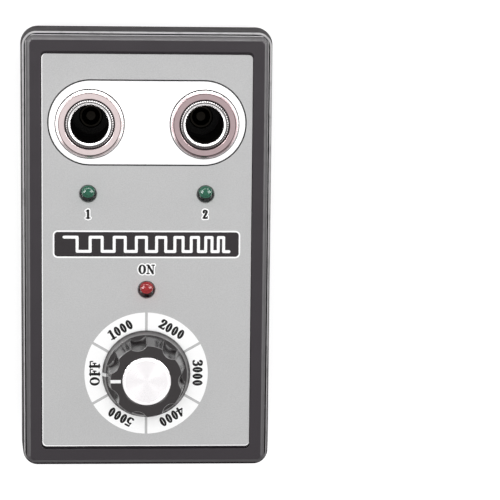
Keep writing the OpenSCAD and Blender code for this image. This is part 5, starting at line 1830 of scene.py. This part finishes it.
@dataclass
class Studio:
    """Floor, lights, world and camera."""

    eye: Triple = (-7.92, 90.56, 661.85)  # the camera's place in mm
    # Its turns about X, Y and Z in degrees, X applied last.
    tilt: Triple = (-8.2315, -3.4385, 0.124)
    lens: float = 156.88  # focal length in mm
    sensor: float = 36.0  # width of the sensor in mm
    sight: float = 20.0  # how far the camera sees in metres
    ambient: float = 0.3  # strength of the world's light on matt surfaces
    floor_half: float = 6000.0  # half the floor's side in mm
    floor_low: float = 0.02  # depth of the floor below the part in mm
    paper: float = 0.6  # grey of the floor under the lights
    paper_glow: float = 0.62  # how far the floor shines by itself where it is seen
    lights: tuple = (  # name, place and size in metres, brightness and what it acts on, for each light
        ("key", (0.0, 0.15, 1.3), (0.9, 0.9), 5.4, Glow.FILL),
        ("strip_left", (-0.75, 0.0, 0.1), (1.0, 0.2), 4.0, Glow.GLEAM),
        ("strip_right", (0.75, 0.0, 0.1), (1.0, 0.2), 3.5, Glow.GLEAM),
        ("strip_back", (0.0, 0.85, 0.12), (1.0, 0.16), 9.0, Glow.GLEAM),
        ("window_left", (-0.70, 0.55, 0.50), (0.6, 0.6), 14.0, Glow.GLEAM),
        ("window_right", (0.70, 0.55, 0.50), (0.55, 0.7), 11.0, Glow.GLEAM))

    def build(self) -> None:
        """Set the stage."""
        self._camera()
        self._world()
        self._floor()
        for light in self.lights:
            self._light(*light)
        bpy.context.scene.view_settings.view_transform = "Standard"

    def _camera(self) -> None:
        """Place the camera where the photo was taken from."""
        data = bpy.data.cameras.new("camera")
        data.lens, data.sensor_width, data.clip_end = self.lens, self.sensor, self.sight
        made = bpy.data.objects.new("camera", data)
        turn = Matrix()
        for angle, axis in zip(self.tilt, "XYZ"):
            turn = turn @ Matrix.Rotation(np.radians(angle), 4, axis)
        made.matrix_world = Matrix.Translation(Vector(self.eye) * MM) @ turn
        bpy.context.scene.collection.objects.link(made)
        bpy.context.scene.camera = made

    @staticmethod
    def _seen(graph: Graph) -> Socket:
        """Tell which rays show a picture: seen directly, in a gloss or through clear resin.

        Args:
            graph: graph that gets the nodes.

        Returns:
            Socket that gives 1 for such rays and 0 for others.
        """
        path = graph.add("LightPath").outputs
        gloss = graph.math("MAXIMUM", path["Is Camera Ray"], path["Is Glossy Ray"])
        return graph.math("MAXIMUM", gloss, path["Is Transmission Ray"])

    def _world(self) -> None:
        """White world, dimmer as a light than as a background."""
        world = bpy.data.worlds.new("studio")
        bpy.context.scene.world = world
        world.use_nodes = True
        graph = Graph(world.node_tree)
        level = graph.add("MapRange", {"Value": self._seen(graph), 3: self.ambient, 4: 1.0})
        graph.feed(world.node_tree.nodes["Background"], {"Color": (1, 1, 1, 1), "Strength": level.outputs[0]})

    def _floor(self) -> None:
        """Pale floor that shows white and keeps the part's shadow."""
        side = np.array([[-1, -1], [1, -1], [1, 1], [-1, 1]]) * self.floor_half
        mesh = bpy.data.meshes.new("floor")
        points = np.concatenate([side, np.full((4, 1), -self.floor_low)], axis=1) * MM
        mesh.from_pydata(points.tolist(), [], [[0, 1, 2, 3]])
        floor = bpy.data.objects.new("floor", mesh)
        bpy.context.scene.collection.objects.link(floor)
        paper = bpy.data.materials.new("paper")
        paper.use_nodes = True
        graph = Graph(paper.node_tree)
        glow = graph.math("MULTIPLY", self._seen(graph), self.paper_glow)
        graph.feed(paper.node_tree.nodes["Principled BSDF"], {
            "Base Color": (self.paper, self.paper, self.paper, 1), "Roughness": 1.0,
            "Specular IOR Level": 0.0, "Emission Color": (1, 1, 1, 1), "Emission Strength": glow})
        mesh.materials.append(paper)

    @staticmethod
    def _light(name: str, place: Triple, size: Pair, level: float, glow: Glow) -> None:
        """Hang a soft light that faces the part.

        Args:
            name: name of the light.
            place: its middle in metres.
            size: width and height in metres.
            level: how bright its surface is; 1 is white.
            glow: what it acts on.
        """
        data = bpy.data.lights.new(name, "AREA")
        data.shape, data.size, data.size_y = "RECTANGLE", *size
        data.energy = level * np.pi * size[0] * size[1]
        made = bpy.data.objects.new(name, data)
        made.location = place
        made.rotation_euler = Vector(place).to_track_quat("Z", "Y").to_euler()
        made.visible_camera = False
        made.visible_glossy = glow is Glow.GLEAM
        made.visible_diffuse = glow is Glow.FILL
        made.visible_transmission = False
        bpy.context.scene.collection.objects.link(made)


def main() -> None:
    """Build the visual model over the frame."""
    logging.basicConfig(level=logging.INFO)
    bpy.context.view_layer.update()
    bench = Bench(Shop())
    parts = [
        Case(), PanelPrint(),
        # one plating for both nuts: the left tone is painted lit, the right one painted shaded
        PlugSocket(Side.LEFT, (0.78, 0.66, 0.66)), PlugSocket(Side.RIGHT, (0.47, 0.36, 0.37)),
        ContactSpring(Side.LEFT), ContactSpring(Side.RIGHT),
        Lamp("led_power", "lens_red", RED_RESIN), Lamp("led_signal_left", "lens_green", GREEN_RESIN),
        Lamp("led_signal_right", "lens_green", GREEN_RESIN), SpeedKnob(), Inside()]
    for part in parts:
        LOG.info("building %s", type(part).__name__)
        part.build(bench)
    Studio().build()


if __name__ == "__main__":
    main()
